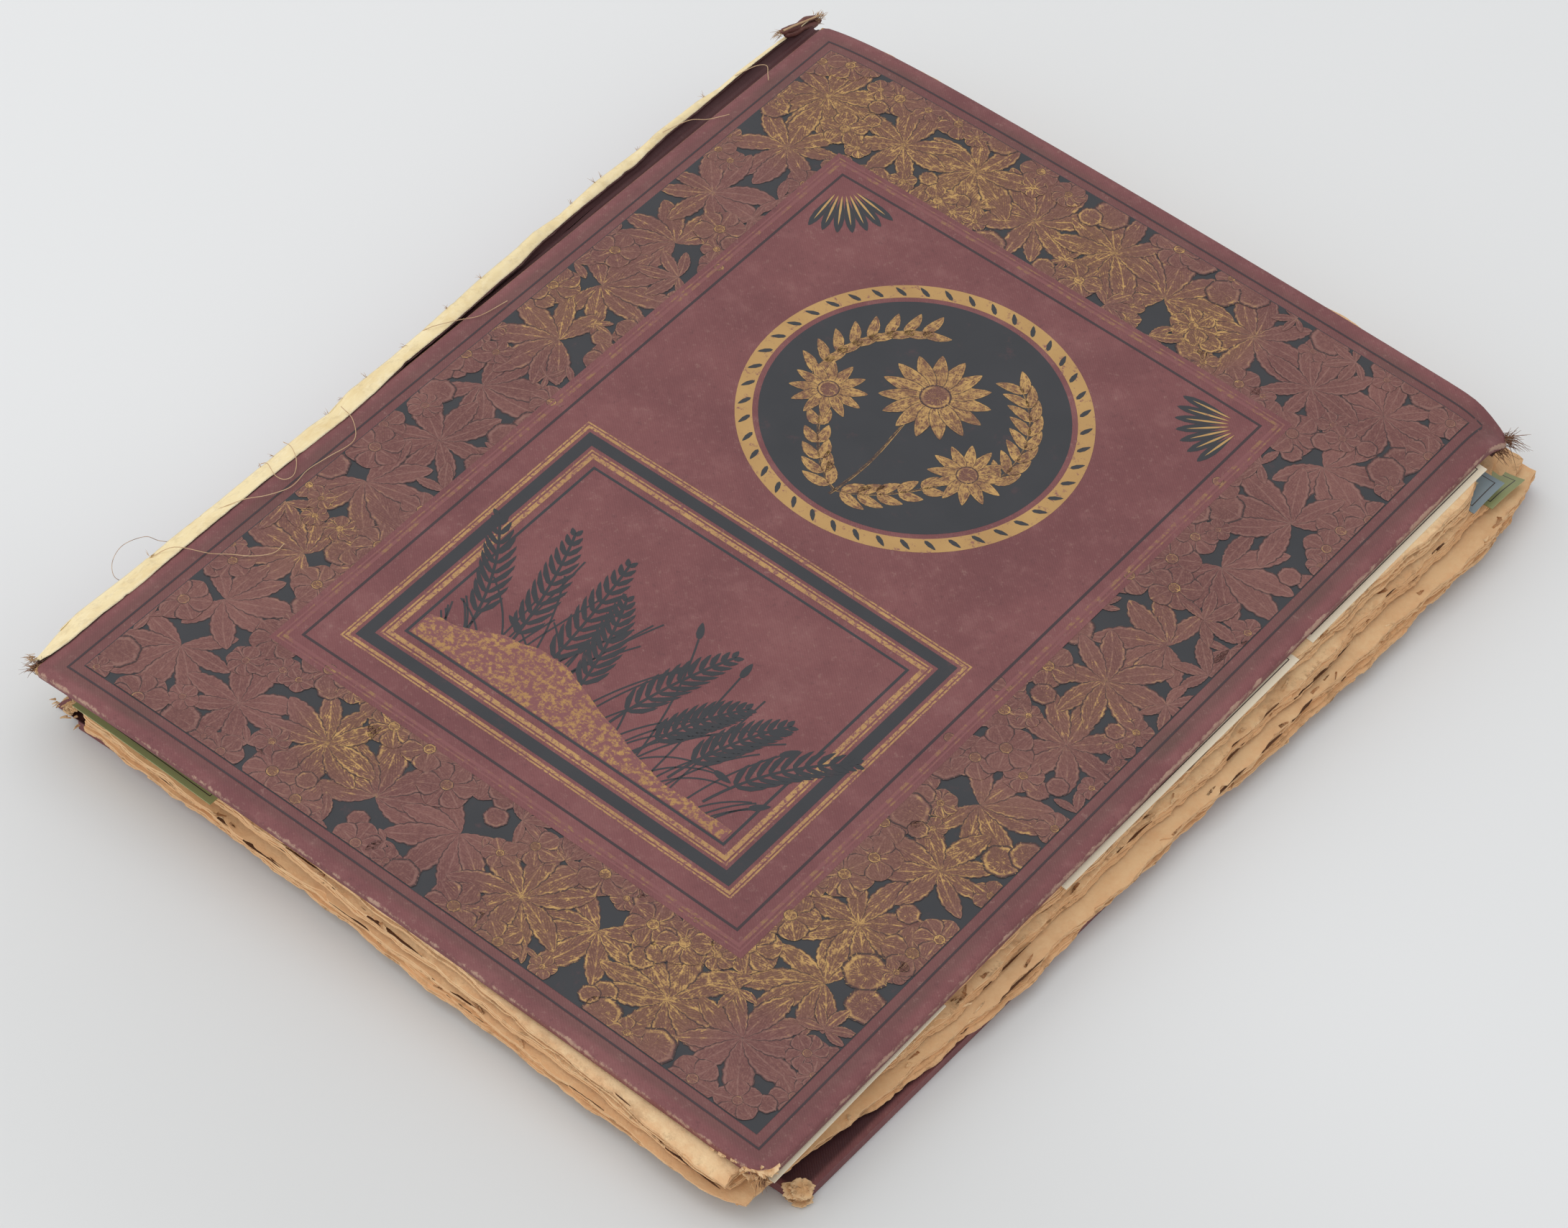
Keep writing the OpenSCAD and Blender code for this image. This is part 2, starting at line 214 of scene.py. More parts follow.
class Shade(Nodes):
    """A material of its own; colours are given as 8-bit screen values."""

    def __init__(self, name, roughness, specular):
        self.material = bpy.data.materials.new(name)
        self.material.use_nodes = True
        super().__init__(self.material.node_tree)
        self.shader = self.tree.nodes["Principled BSDF"]
        self.shader.inputs["Roughness"].default_value = roughness
        self.shader.inputs["Specular IOR Level"].default_value = specular
        self.place = self.node("TexCoord")["Object"]

    def noise(self, scale, detail=4, strength=0.55, vector=None):
        inputs = {"Vector": vector or self.place, "Scale": scale, "Detail": detail, "Roughness": strength}
        return self.node("TexNoise", inputs)["Fac"]

    def stretch(self, scale, location=(0, 0, 0)):
        return self.node("Mapping", {"Vector": self.place, "Location": location, "Scale": scale})[0]

    def step(self, value, low, high, bottom=0.0, top=1.0):
        """Goes smoothly from bottom to top while the value goes from low to high."""
        inputs = enumerate((value, low, high, bottom, top))
        return self.node("MapRange", inputs, interpolation_type="SMOOTHSTEP")[0]

    def mix(self, factor, a, b):
        a, b = (colour(*c) if isinstance(c, tuple) else c for c in (a, b))
        return self.node("Mix", {0: factor, 6: a, 7: b}, data_type="RGBA")[2]

    def touch(self, base, value, low, high, share, other):
        """Brings another colour in, up to a share, while the value goes from low to high."""
        return self.mix(self.step(value, low, high, 0, share), base, other)

    def tone(self):
        return list(self.node("SeparateColor", {0: self.node("Attribute", attribute_name="tone")["Color"]}))

    def parts(self, vector):
        return list(self.node("SeparateXYZ", {0: vector}))

    def spot(self):
        return self.parts(self.node("UVMap", uv_map="spot")[0])

    def paint(self, value):
        self.feed(self.shader.inputs["Base Color"], value)

    def bump(self, height, distance, strength):
        made = self.node("Bump", {"Strength": strength, "Distance": distance, "Height": height})
        self.feed(self.shader.inputs["Normal"], made[0])


MAROON = (128, 78, 79)
MAROON_LIGHT = (142, 100, 98)
MAROON_DARK = (112, 66, 68)
GOLD = (200, 160, 98)
GOLD_DULL = (150, 114, 76)
PRINT_GRAIN = 1500


def worn_cloth(name, tint=None, depth=0.5, lined=False):
    """Maroon book cloth: weave, mottling, scuffs, and pale wear where tone red is high."""
    s = Shade(name, 0.62, 0.35)
    wear, grime, bare = s.tone()
    mottle = s.noise(30, 7, 0.66)
    base = s.mix(s.step(mottle, 0.3, 0.7), MAROON_DARK, MAROON)
    base = s.touch(base, s.noise(120, 6, 0.75), 0.5, 0.74, 0.35, MAROON_LIGHT)
    base = s.touch(base, s.noise(16, 5, 0.6), 0.55, 0.72, 0.15, (148, 108, 104))
    base = s.touch(base, s.noise(900, 3, 0.6), 0.6, 0.72, 0.45, MAROON_LIGHT)
    base = s.mix(s.times(grime, s.step(mottle, 0.3, 0.7, 0.35, 0.95)), base, (94, 68, 62))
    speck = s.noise(420, 5, 0.85)
    base = s.touch(base, speck, 0.56, 0.7, 0.5, (152, 118, 110))
    base = s.touch(base, speck, 0.44, 0.34, 0.45, (92, 56, 58))
    thread = s.noise(1, 5, 0.8, s.stretch((700, 260, 500)))
    base = s.touch(base, s.plus(wear, s.times(thread, 0.9)), 0.9, 1.1, 1, (176, 142, 124))
    base = s.touch(base, s.plus(bare, s.times(thread, 0.7)), 0.8, 1.0, 1, (176, 150, 116))
    # The tint is mixed over the whole cloth: a brown as the roll's own colour, or a near-black maroon as
    # painted shade for the cloth in the joint's groove.
    if tint:
        base = s.mix(depth, base, tint)
    if lined:
        # The back cover's inner side is dark, but for the turned-in rims at the fore edge and the tail.
        x, y, z = s.parts(s.place)
        inside = s.times(s.step(z, 0.0024, 0.0029), s.step(x, 0.1212, 0.1196))
        inside = s.times(inside, s.step(y, -0.1642, -0.1626))
        base = s.mix(s.times(inside, 0.85), base, (54, 26, 31))
    s.paint(base)
    inputs = {"Vector": s.place, "Scale": 700, "Distortion": 2.0}
    weave = s.node("TexWave", inputs, wave_type="BANDS", bands_direction="DIAGONAL")
    s.bump(s.plus(s.times(weave["Fac"], 0.5), s.noise(PRINT_GRAIN, 2)), 0.00012, 0.5)
    return s.material


def print_leaf(name):
    """Foliage print: leaves in cloth colour, hatched in gilt that is rubbed away where tone red is low."""
    s = Shade(name, 0.6, 0.3)
    gilt, shade, edge = s.tone()
    along, across, _ = s.spot()
    rub = s.noise(230, 6, 0.8)
    fine = s.noise(1300, 3, 0.75)
    patchy = s.noise(34, 5, 0.68)
    dull = s.mix(s.step(patchy, 0.35, 0.65), (108, 68, 66), (127, 85, 80))
    dull = s.touch(dull, s.plus(gilt, s.times(patchy, 0.6)), 0.4, 1.05, 1, (114, 80, 62))
    dull = s.mix(s.times(shade, 0.6), dull, (102, 66, 62))
    dull = s.touch(dull, fine, 0.45, 0.72, 0.45, (146, 106, 94))
    dull = s.touch(dull, fine, 0.45, 0.3, 0.4, (80, 50, 50))
    broken = s.noise(1000, 4, 0.85)
    ray = s.math("SINE", s.plus(s.times(across, 9.0), s.times(along, 2.8)))
    ray = s.plus(ray, s.times(broken, 4.2))
    groove = s.times(s.step(ray, 1.3, 0.6), s.step(edge, 0.9, 0.6))
    dull = s.mix(s.times(groove, 0.4), dull, (92, 60, 56))
    outline = s.times(s.step(edge, 0.68, 0.76), s.step(edge, 0.9, 0.84))
    drawn = s.math("MAXIMUM", outline, s.step(across, 0.28, 0.12))
    drawn = s.times(drawn, s.step(s.plus(rub, s.times(broken, 0.5)), 0.58, 0.84))
    vein = s.math("MAXIMUM", s.step(ray, 2.9, 3.5), drawn)
    keep = s.step(s.plus(s.times(gilt, 0.75), s.math("SUBTRACT", rub, 0.5)), 0.05, 0.85)
    gold = s.mix(s.step(rub, 0.35, 0.65), GOLD_DULL, GOLD)
    line = s.mix(s.step(keep, 0.0, 0.5), (150, 114, 104), gold)
    foil = s.plus(s.noise(720, 5, 0.8), s.times(keep, 0.25))
    foil = s.step(s.plus(foil, s.times(ray, 0.02)), 0.7, 0.82)
    dull = s.mix(s.times(foil, 0.85), dull, gold)
    dull = s.touch(dull, edge, 0.86, 0.96, 0.88, (56, 46, 47))
    s.paint(s.mix(s.times(vein, s.step(keep, 0.0, 0.7, 0.5, 0.88)), dull, line))
    s.bump(s.noise(PRINT_GRAIN, 2), 0.0001, 0.35)
    return s.material


def print_plain(name, low, high, gaps=0.0, scale=160):
    """Plain printing ink or gilt, worn off in places."""
    s = Shade(name, 0.55, 0.4)
    rub = s.noise(scale, 6, 0.75)
    base = s.mix(s.noise(60, 4), low, high)
    if gaps:
        s.paint(s.touch(base, rub, gaps, gaps + 0.14, 1, MAROON))
    else:
        s.paint(s.touch(base, rub, 0.58, 0.8, 0.35, MAROON_DARK))
    s.bump(s.noise(PRINT_GRAIN, 2), 0.0001, 0.35)
    return s.material


def paper(name, low, high, rim, stain, rough_bump=0.5):
    """Old paper: tone red shifts the colour, green is nearness to a torn edge, blue is dirt."""
    s = Shade(name, 0.9, 0.2)
    shift, edge, dirt = s.tone()
    base = s.touch(s.mix(shift, low, high), s.noise(48, 6, 0.68), 0.42, 0.78, 0.75, stain)
    fibre = s.noise(1.0, 5, 0.7, s.stretch((300, 300, 2200)))
    base = s.touch(base, fibre, 0.45, 0.75, 0.5, rim)
    base = s.mix(s.times(edge, s.step(fibre, 0.3, 0.6, 0, 0.8)), base, rim)
    s.paint(s.mix(s.times(dirt, s.step(s.noise(240, 6, 0.78), 0.5, 0.62)), base, (104, 70, 44)))
    s.bump(s.plus(fibre, s.noise(900, 4)), 0.0003, rough_bump)
    return s.material


def card_stock(name):
    """Printed card: pale with a thin dark line; spot x is the distance from the edge, tone its colours."""
    s = Shade(name, 0.45, 0.5)
    hue, up, age = s.tone()
    inset = s.spot()[0]
    stock = s.mix(s.noise(40, 4), (229, 215, 187), (241, 231, 208))
    stock = s.touch(stock, age, 0.3, 0.6, 1, (146, 152, 104))
    stock = s.touch(stock, age, 0.85, 0.95, 1, (132, 148, 156))
    sky = s.mix(hue, (214, 196, 150), (168, 190, 192))
    field = s.mix(hue, (150, 156, 100), (196, 150, 120))
    view = s.touch(field, s.plus(up, s.times(s.noise(60, 5, 0.7), 0.5)), 0.5, 0.9, 1, sky)
    bloom = s.step(s.noise(170, 3, 0.6), 0.62, 0.68)
    view = s.mix(s.times(bloom, s.step(up, 0.75, 0.35)), view, (196, 92, 84))
    base = s.touch(stock, inset, 5.0, 5.6, 1, view)
    line = s.times(s.step(inset, 1.75, 1.85), s.step(inset, 2.15, 2.05))
    s.paint(s.mix(line, base, (58, 46, 44)))
    s.bump(s.noise(500, 3), 0.0001, 0.3)
    return s.material


cloth = worn_cloth("cover_cloth")
back_cover_cloth = worn_cloth("back_cover_cloth", lined=True)
# Cloth painted near-black as shade, for the joint's groove, the wall beside the spine and the hollow under a
# corner.
painted_shade_cloth = worn_cloth("painted_shade_cloth", (46, 18, 24), 0.7)
roll_cloth = worn_cloth("roll_cloth", (96, 56, 44), 0.6)
foliage = print_leaf("gilt_foliage")
ink = print_plain("black_ink", (42, 44, 48), (56, 56, 60))
line_ink = print_plain("line_ink", (50, 38, 42), (66, 50, 54))
gilding = print_plain("gilding", (150, 108, 74), GOLD, 0.47, 900)
hairline = print_plain("gilt_hairline", (138, 98, 72), GOLD_DULL, 0.38, 300)
stipple = print_plain("gilt_stipple", (150, 108, 68), (190, 148, 86), 0.4, 620)
gilding_full = print_plain("bright_gilding", (164, 124, 76), (198, 160, 100), 0.55, 420)
leaf_paper = paper("leaf_paper", (218, 174, 128), (242, 211, 166), (226, 180, 134), (209, 160, 114))
crack_shadow = paper("crack_shadow", (66, 42, 30), (96, 64, 44), (104, 70, 48), (52, 34, 26))
torn_paper = paper("torn_paper", (150, 96, 56), (232, 188, 138), (236, 206, 164), (176, 118, 72))
dark_paper = paper("dark_paper", (46, 18, 21), (60, 27, 30), (84, 46, 46), (36, 15, 18))
liner_paper = paper("liner", (232, 212, 164), (243, 227, 186), (246, 234, 202), (220, 192, 138), 0.25)
linen_paper = paper("linen", (196, 170, 130), (214, 190, 150), (226, 206, 172), (160, 128, 90))
board_paper = paper("board_pulp", (176, 142, 98), (196, 166, 124), (214, 190, 152), (134, 100, 64))
cards_stock = card_stock("card_stock")
fibre_stock = paper("fibres", (150, 108, 74), (206, 176, 138), (214, 186, 150), (120, 70, 52))
brown_fibre = paper("brown_fibres", (104, 72, 56), (150, 114, 88), (164, 128, 98), (92, 52, 44))


# The camera stands where the photograph was taken from.
CAMERA_TURN = radians(36.58)
CAMERA_LIFT = radians(46.13)
CAMERA_ROLL = radians(2.88)
CAMERA_LENS = 116.96
CAMERA_PLACE = (0.56476, -0.78086, 0.99735)


def aim_camera():
    level_part = cos(CAMERA_LIFT)
    back = Vector((sin(CAMERA_TURN) * level_part, -cos(CAMERA_TURN) * level_part, sin(CAMERA_LIFT)))
    side = Vector((cos(CAMERA_TURN), sin(CAMERA_TURN), 0))
    top = back.cross(side)
    right = side * cos(CAMERA_ROLL) + top * sin(CAMERA_ROLL)
    up = top * cos(CAMERA_ROLL) - side * sin(CAMERA_ROLL)
    data = bpy.data.cameras.new("camera")
    data.lens = CAMERA_LENS
    data.sensor_width = 36
    data.sensor_fit = "HORIZONTAL"
    data.clip_end = 50
    camera = bpy.data.objects.new("camera", data)
    turn = Matrix((right, up, back)).transposed().to_4x4()
    camera.matrix_world = Matrix.Translation(CAMERA_PLACE) @ turn
    bpy.context.collection.objects.link(camera)
    bpy.context.scene.camera = camera


def lamp(name, spot, size, power):
    """A round lamp that points at the origin."""
    data = bpy.data.lights.new(name, "AREA")
    data.shape = "DISK"
    data.size = size
    data.energy = power
    obj = bpy.data.objects.new(name, data)
    obj.location = spot
    obj.rotation_euler = Vector(spot).to_track_quat("Z", "Y").to_euler()
    bpy.context.collection.objects.link(obj)


def studio_world():
    """Soft light from all round, with a pale backdrop where the camera or a reflection sees it."""
    world = bpy.data.worlds.new("studio")
    world.use_nodes = True
    sky = Nodes(world.node_tree)
    backdrop = sky.tree.nodes["Background"]
    backdrop.inputs[0].default_value = colour(232, 234, 235)
    ambient = sky.node("Background", {"Color": (1, 1, 1, 1), "Strength": 0.7})
    path = sky.node("LightPath")
    shown = sky.math("MAXIMUM", path["Is Camera Ray"], path["Is Glossy Ray"])
    shown = sky.math("MAXIMUM", shown, path["Is Transmission Ray"])
    both = sky.node("MixShader", {0: shown, 1: ambient[0], 2: backdrop.outputs[0]})
    sky.feed(sky.tree.nodes["World Output"].inputs[0], both[0])
    bpy.context.scene.world = world


def studio_floor():
    """A pale floor, with a painted shadow that makes it a little darker under and around the album."""
    mesh = bpy.data.meshes.new("floor")
    side = 6
    corners = [(x * side, y * side, -0.0002) for x, y in ((-1, -1), (1, -1), (1, 1), (-1, 1))]
    mesh.from_pydata(corners, [], [(0, 1, 2, 3)])
    floor = bpy.data.objects.new("floor", mesh)
    bpy.context.collection.objects.link(floor)
    s = Shade("floor", 0.7, 0.1)
    pale = s.mix(s.noise(1.5, 2), (226, 228, 229), (231, 232, 233))
    # Painted shadow: the floor turns darker towards a spot just in front of the album's tail.
    far = s.node("VectorMath", {0: s.stretch((0.55, 1, 1), (-0.04, 0.21, 0))}, operation="LENGTH")["Value"]
    s.paint(s.touch(pale, far, 0.22, 0.03, 0.9, (213, 214, 214)))
    mesh.materials.append(s.material)


def studio():
    bpy.context.scene.view_settings.view_transform = "Standard"
    lamp("top", (-0.4, 0.1, 2.3), 2.8, 11)
    lamp("left", (-1.8, -1.0, 1.3), 2.6, 13)
    lamp("front", (-0.2, -2.0, 1.1), 2.6, 8)
    studio_world()
    studio_floor()


# Front cover: the cloth goes round the board's edges and is turned in beneath.
TURN_IN = 15
# Rounding of the cover's corners, from fore-edge tail round to spine tail.
CORNERS = (6.5, 4.5, 2.5, 2.0)
# Rings of the cloth from the top face to the inner one: how far in from the edge, and how far below the top.
RINGS = (
    (2.2, 0.0), (1.0, 0.02), (0.4, 0.12), (0.1, 0.36), (0.0, 0.8), (0.0, 1.9), (0.08, 2.5), (0.4, 2.85),
    (1.2, COVER_T), (TURN_IN, COVER_T), (TURN_IN, 2.62), (1.4, 2.62), (0.6, 2.3), (0.5, 1.5), (0.7, 0.7),
    (1.4, 0.42),
)


def edge_wear(x, y):
    """Rubbing near the cover's edges and corners, 0 to 1."""
    u = x - FRONT_X
    v = y - FRONT_Y
    near = min(u + 30, BOARD_W - u, v + 0.5, BOARD_L - v + 0.5)
    corner = min(
        hypot(u - 2, v - 2) + 1, hypot(BOARD_W - u, v),
        hypot(BOARD_W - u, BOARD_L - v) + 1, hypot(u, BOARD_L - v) + 20,
    )
    tail = exp(-max(v, 0) / 0.5) * 0.16
    patchy = 0.5 + 0.5 * rough(u / 14, v / 14, 4.2)
    return clamp(exp(-max(near, 0) / 0.9) * (0.2 + 0.4 * patchy) + tail + 0.45 * exp(-corner / 4))


def bareness(x, y):
    """Where the cloth is worn through to the board."""
    u = x - FRONT_X
    v = y - FRONT_Y
    return clamp(exp(-hypot(BOARD_W - u, v) / 3.2) + 0.75 * exp(-hypot(u, v) / 2.6))


def cover_outline(inset, count_x=80, count_y=110):
    """Points round the cover at an inset, with rounded corners."""
    x0 = FRONT_X + inset
    x1 = FRONT_X + BOARD_W - inset
    y0 = FRONT_Y + inset
    y1 = FRONT_Y + BOARD_L - inset
    radii = [max(radius - inset, 0.2) for radius in CORNERS]
    points = []
    for turn, (nx, ny) in enumerate(((0, 1), (-1, 0), (0, -1), (1, 0))):
        r = radii[turn]
        centre = (x1 - r if turn < 2 else x0 + r, y1 - r if turn in (1, 2) else y0 + r)
        points += [around(centre, r, radians(90 * (turn - 1) + 15 * step)) for step in range(7)]
        px, py = points[-1]
        length = (x1 - x0 if nx else y1 - y0) - r - radii[(turn + 1) % 4]
        count = count_x if nx else count_y
        for step in range(1, count):
            points.append((px + nx * length * step / count, py + ny * length * step / count))
    return points


def cover_cloth():
    skin = Skin()
    loops = []
    for number, (inset, drop) in enumerate(RINGS):
        ring = []
        for x, y in cover_outline(inset):
            shake = 0.06 * rough(x / 7, y / 7, number) if 0 < number < 8 else 0
            wear = edge_wear(x, y) if drop < 2.5 else 0.1
            if number in (2, 3, 4) and x > FRONT_X + 6:
                wear = clamp(wear + 0.12 + 0.3 * max(0, rough(x / 5, y / 5, 7.7)))
            tone = (wear, 0.5 if number > 8 else 0.0, bareness(x, y) if number < 8 else 0)
            ring.append(skin.add((x, y, cover_top(x, y) - drop - abs(shake)), tone))
        loops.append(ring)
    for a, b in zip(loops, loops[1:]):
        for i in range(len(a)):
            j = (i + 1) % len(a)
            skin.faces.append((a[i], b[i], b[j], a[j]))
    fill_sheet(skin, loops[0], 0.0, flip=False)
    fill_sheet(skin, loops[-1], RINGS[-1][1], flip=True)
    return skin.build("front_book_cloth", "front_cover", cloth)


def fill_sheet(skin, ring, drop, flip):
    """Fills a ring of the cover with points that follow its bend, close together beside the spine."""
    flat = [(skin.points[i][0] * 1000 + CENTRE.x, skin.points[i][1] * 1000 + CENTRE.y) for i in ring]
    inner = []
    step = 3.0
    x = FRONT_X + 4
    while x < FRONT_X + BOARD_W - 3.5:
        y = FRONT_Y + 4
        while y < FRONT_Y + BOARD_L - 3.5:
            inner.append((x, y))
            y += step * 1.02
        x += step if x > 30 else 1.5
    spots = [Vector(p) for p in flat + inner]
    verts, _, faces, origins, _, _ = delaunay_2d_cdt(spots, [], [list(range(len(flat)))], 1, 1e-6)
    index = []
    for v, origin in zip(verts, origins):
        if origin and origin[0] < len(flat):
            index.append(ring[origin[0]])
        else:
            margin = min(v.x - FRONT_X, FRONT_X + BOARD_W - v.x, v.y - FRONT_Y, FRONT_Y + BOARD_L - v.y)
            stain = blend_in(rough(v.x / 22, v.y / 22, 9.1), 0.15, 0.5)
            grime = clamp(0.35 * stain + 0.55 * blend_in(margin, 12, 8))
            tone = (0.0 if flip else edge_wear(v.x, v.y), grime, bareness(v.x, v.y))
            index.append(skin.add((v.x, v.y, cover_top(v.x, v.y) - drop), tone))
    for face in faces:
        corners = tuple(index[i] for i in face)
        skin.faces.append(corners[::-1] if flip else corners)


# Printed border: foliage of the builder's own arrangement on a black ground.
# Places on the cover are (u, v) from its own corner. Boxes are left, low, right and high.
BAND = (9.6, 8.8, BOARD_W - 9.6, BOARD_L - 8.8)
FIELD = (45.7, 52.6, BOARD_W - 51.3, BOARD_L - 49.2)
EDGE_FRAME = (6.3, 5.6, BOARD_W - 6.3, BOARD_L - 5.6)
# How high the plain field lies above the cloth.
FIELD_LIFT = 0.23
# Where gilt is left, as place, size and amount, and where it is rubbed off, as place and size.
BRIGHT = (
    (26, 298, 26, 0.8), (73, 301, 24, 0.85), (118, 302, 20, 0.7), (159, 298, 20, 0.75), (22, 245, 24, 0.5),
    (22, 190, 26, 0.55), (24, 84, 22, 0.5), (80, 34, 20, 0.75), (150, 24, 26, 0.6), (190, 26, 22, 0.7),
    (212, 62, 26, 0.85), (222, 112, 22, 0.7), (214, 170, 20, 0.5), (212, 208, 16, 0.35),
)
RUBBED = ((30, 258, 12), (44, 20, 18), (224, 20, 14), (212, 300, 26), (112, 20, 12), (22, 130, 14))


def gilding_at(u, v):
    """How much gilt is left at a place of the cover."""
    amount = 0.06
    for a, b, size, level in BRIGHT + tuple((*spot, -0.625) for spot in RUBBED):
        amount += 0.8 * level * exp(-((u - a) ** 2 + (v - b) ** 2) / (size * size))
    return clamp(amount)


def gilt_of(tone, u, v):
    return gilding_at(u, v) if tone[0] is None else tone[0]


def on_cover(u, v, lift):
    x = u + FRONT_X
    y = v + FRONT_Y
    return (x, y, cover_top(x, y) + lift)


def leaflet(skin, root, angle, length, width, lift, tone, bend=0.0, blunt=0.75, teeth=0, rows=13, columns=7):
    """One leaf or petal printed on the cover; spot holds millimetres along and across."""

    def make(i, j):
        t = 0.5 - 0.5 * cos(pi * i / (rows - 1))
        s = 2 * j / (columns - 1) - 1
        half = width / 2 * max(sin(pi * t ** blunt), 0.0) ** 0.7
        if teeth:
            half *= 0.93 + 0.16 * abs(sin(pi * teeth * t))
        u, v = turned(root, length * t, s * half, angle + bend * t)
        edge = max(abs(s), clamp(1 - min(t, 1 - t) * 9) if half < 0.35 * width else 0)
        return on_cover(u, v, lift), (gilt_of(tone, u, v), tone[1], edge), (length * t, abs(s * half))

    skin.grid(rows, columns, make)


def disc(skin, centre, radius, lift, tone, lobes=0, depth=0.0, rows=4, columns=25, hole=0.0):
    """A round print, scalloped if it has lobes."""

    def make(i, j):
        a = FULL_TURN * j / (columns - 1)
        t = hole + (1 - hole) * i / (rows - 1)
        r = radius * t * (1 + depth * cos(lobes * a) * t)
        u, v = around(centre, r, a)
        return on_cover(u, v, lift), (gilt_of(tone, u, v), tone[1], 0.5 if hole else t), (r, a * radius * 0.5)

    skin.grid(rows, columns, make)


def blossom(skin, centre, radius, lift, shade, petals, turn):
    """A round flower with a gilt eye."""
    for n in range(petals):
        angle = turn + FULL_TURN * n / petals
        root = around(centre, 0.1 * radius, angle)
        size = (radius * 0.95, radius * 1.12)
        leaflet(skin, root, angle, *size, lift + 0.004 * n, (None, shade), blunt=1.25, rows=8, columns=7)
    disc(skin, centre, radius * 0.24, lift + 0.03, (min(1, gilding_at(*centre) + 0.3), 0))


def palm_leaf(skin, centre, size, turn, spread, count, lift, rng, shade=0.2):
    """A leaf of several leaflets from one point."""
    for n in range(count):
        share = n / (count - 1) - 0.5
        angle = turn + spread * share + rng.uniform(-0.08, 0.08)
        length = size * (1 - 0.24 * abs(share) * 2) * rng.uniform(0.9, 1.06)
        tone = (None, clamp(shade + rng.uniform(-0.2, 0.4)))
        width = length * rng.uniform(0.33, 0.41)
        bend = rng.uniform(-0.25, 0.25)
        leaflet(skin, centre, angle, length, width, lift + 0.003 * n, tone, bend, 1.15, teeth=7, rows=29)


def band_places(rng, spacing=25.5):
    """Places along the middle of the border, with the direction along it."""
    x0, y0, x1, y1 = (24.5, 27.5, BOARD_W - 27.5, BOARD_L - 26)
    corners = ((x0, y0), (x1, y0), (x1, y1), (x0, y1), (x0, y0))
    places = []
    for a, b in zip(corners, corners[1:]):
        count = round(hypot(b[0] - a[0], b[1] - a[1]) / spacing)
        for n in range(count):
            t = (n + rng.uniform(-0.14, 0.14)) / count
            places.append((a[0] + (b[0] - a[0]) * t, a[1] + (b[1] - a[1]) * t, heading_of(a, b)))
    return places


def in_box(box, u, v):
    return box[0] < u < box[2] and box[1] < v < box[3]


def keep_inside(obj, box):
    """Cuts an object off outside a rectangle of the cover."""
    mesh = bmesh.new()
    mesh.from_mesh(obj.data)
    for u, v, normal in (
        (box[0], 0, (-1, 0, 0)), (box[2], 0, (1, 0, 0)), (0, box[1], (0, -1, 0)), (0, box[3], (0, 1, 0)),
    ):
        point = place(u + FRONT_X, v + FRONT_Y, 0)
        geometry = mesh.verts[:] + mesh.edges[:] + mesh.faces[:]
        bmesh.ops.bisect_plane(mesh, geom=geometry, plane_co=point, plane_no=normal, clear_outer=True)
    mesh.to_mesh(obj.data)
    mesh.free()


def patch(skin, box, lift, tone, step=2.0):
    """A plain rectangle that follows the cover's bend."""
    u0, v0, u1, v1 = box
    columns = max(2, ceil(abs(u1 - u0) / step) + 1)
    rows = max(2, ceil(abs(v1 - v0) / step) + 1)

    def make(i, j):
        u = u0 + (u1 - u0) * j / (columns - 1)
        v = v0 + (v1 - v0) * i / (rows - 1)
        return on_cover(u, v, lift), (*tone, 0), (u, v)

    skin.grid(rows, columns, make)


def frame_line(skin, box, width, lift, tone=(0.5, 0.3)):
    """Four strips along the inside of a rectangle."""
    u0, v0, u1, v1 = box
    patch(skin, (u0, v0, u1, v0 + width), lift, tone)
    patch(skin, (u0, v1 - width, u1, v1), lift, tone)
    patch(skin, (u0, v0 + width, u0 + width, v1 - width), lift, tone)
    patch(skin, (u1 - width, v0 + width, u1, v1 - width), lift, tone)


# Small prints that fill the border: up to this draw, how wide each kind is.
TRIES = 6000
LARGE_TRIES = 2000


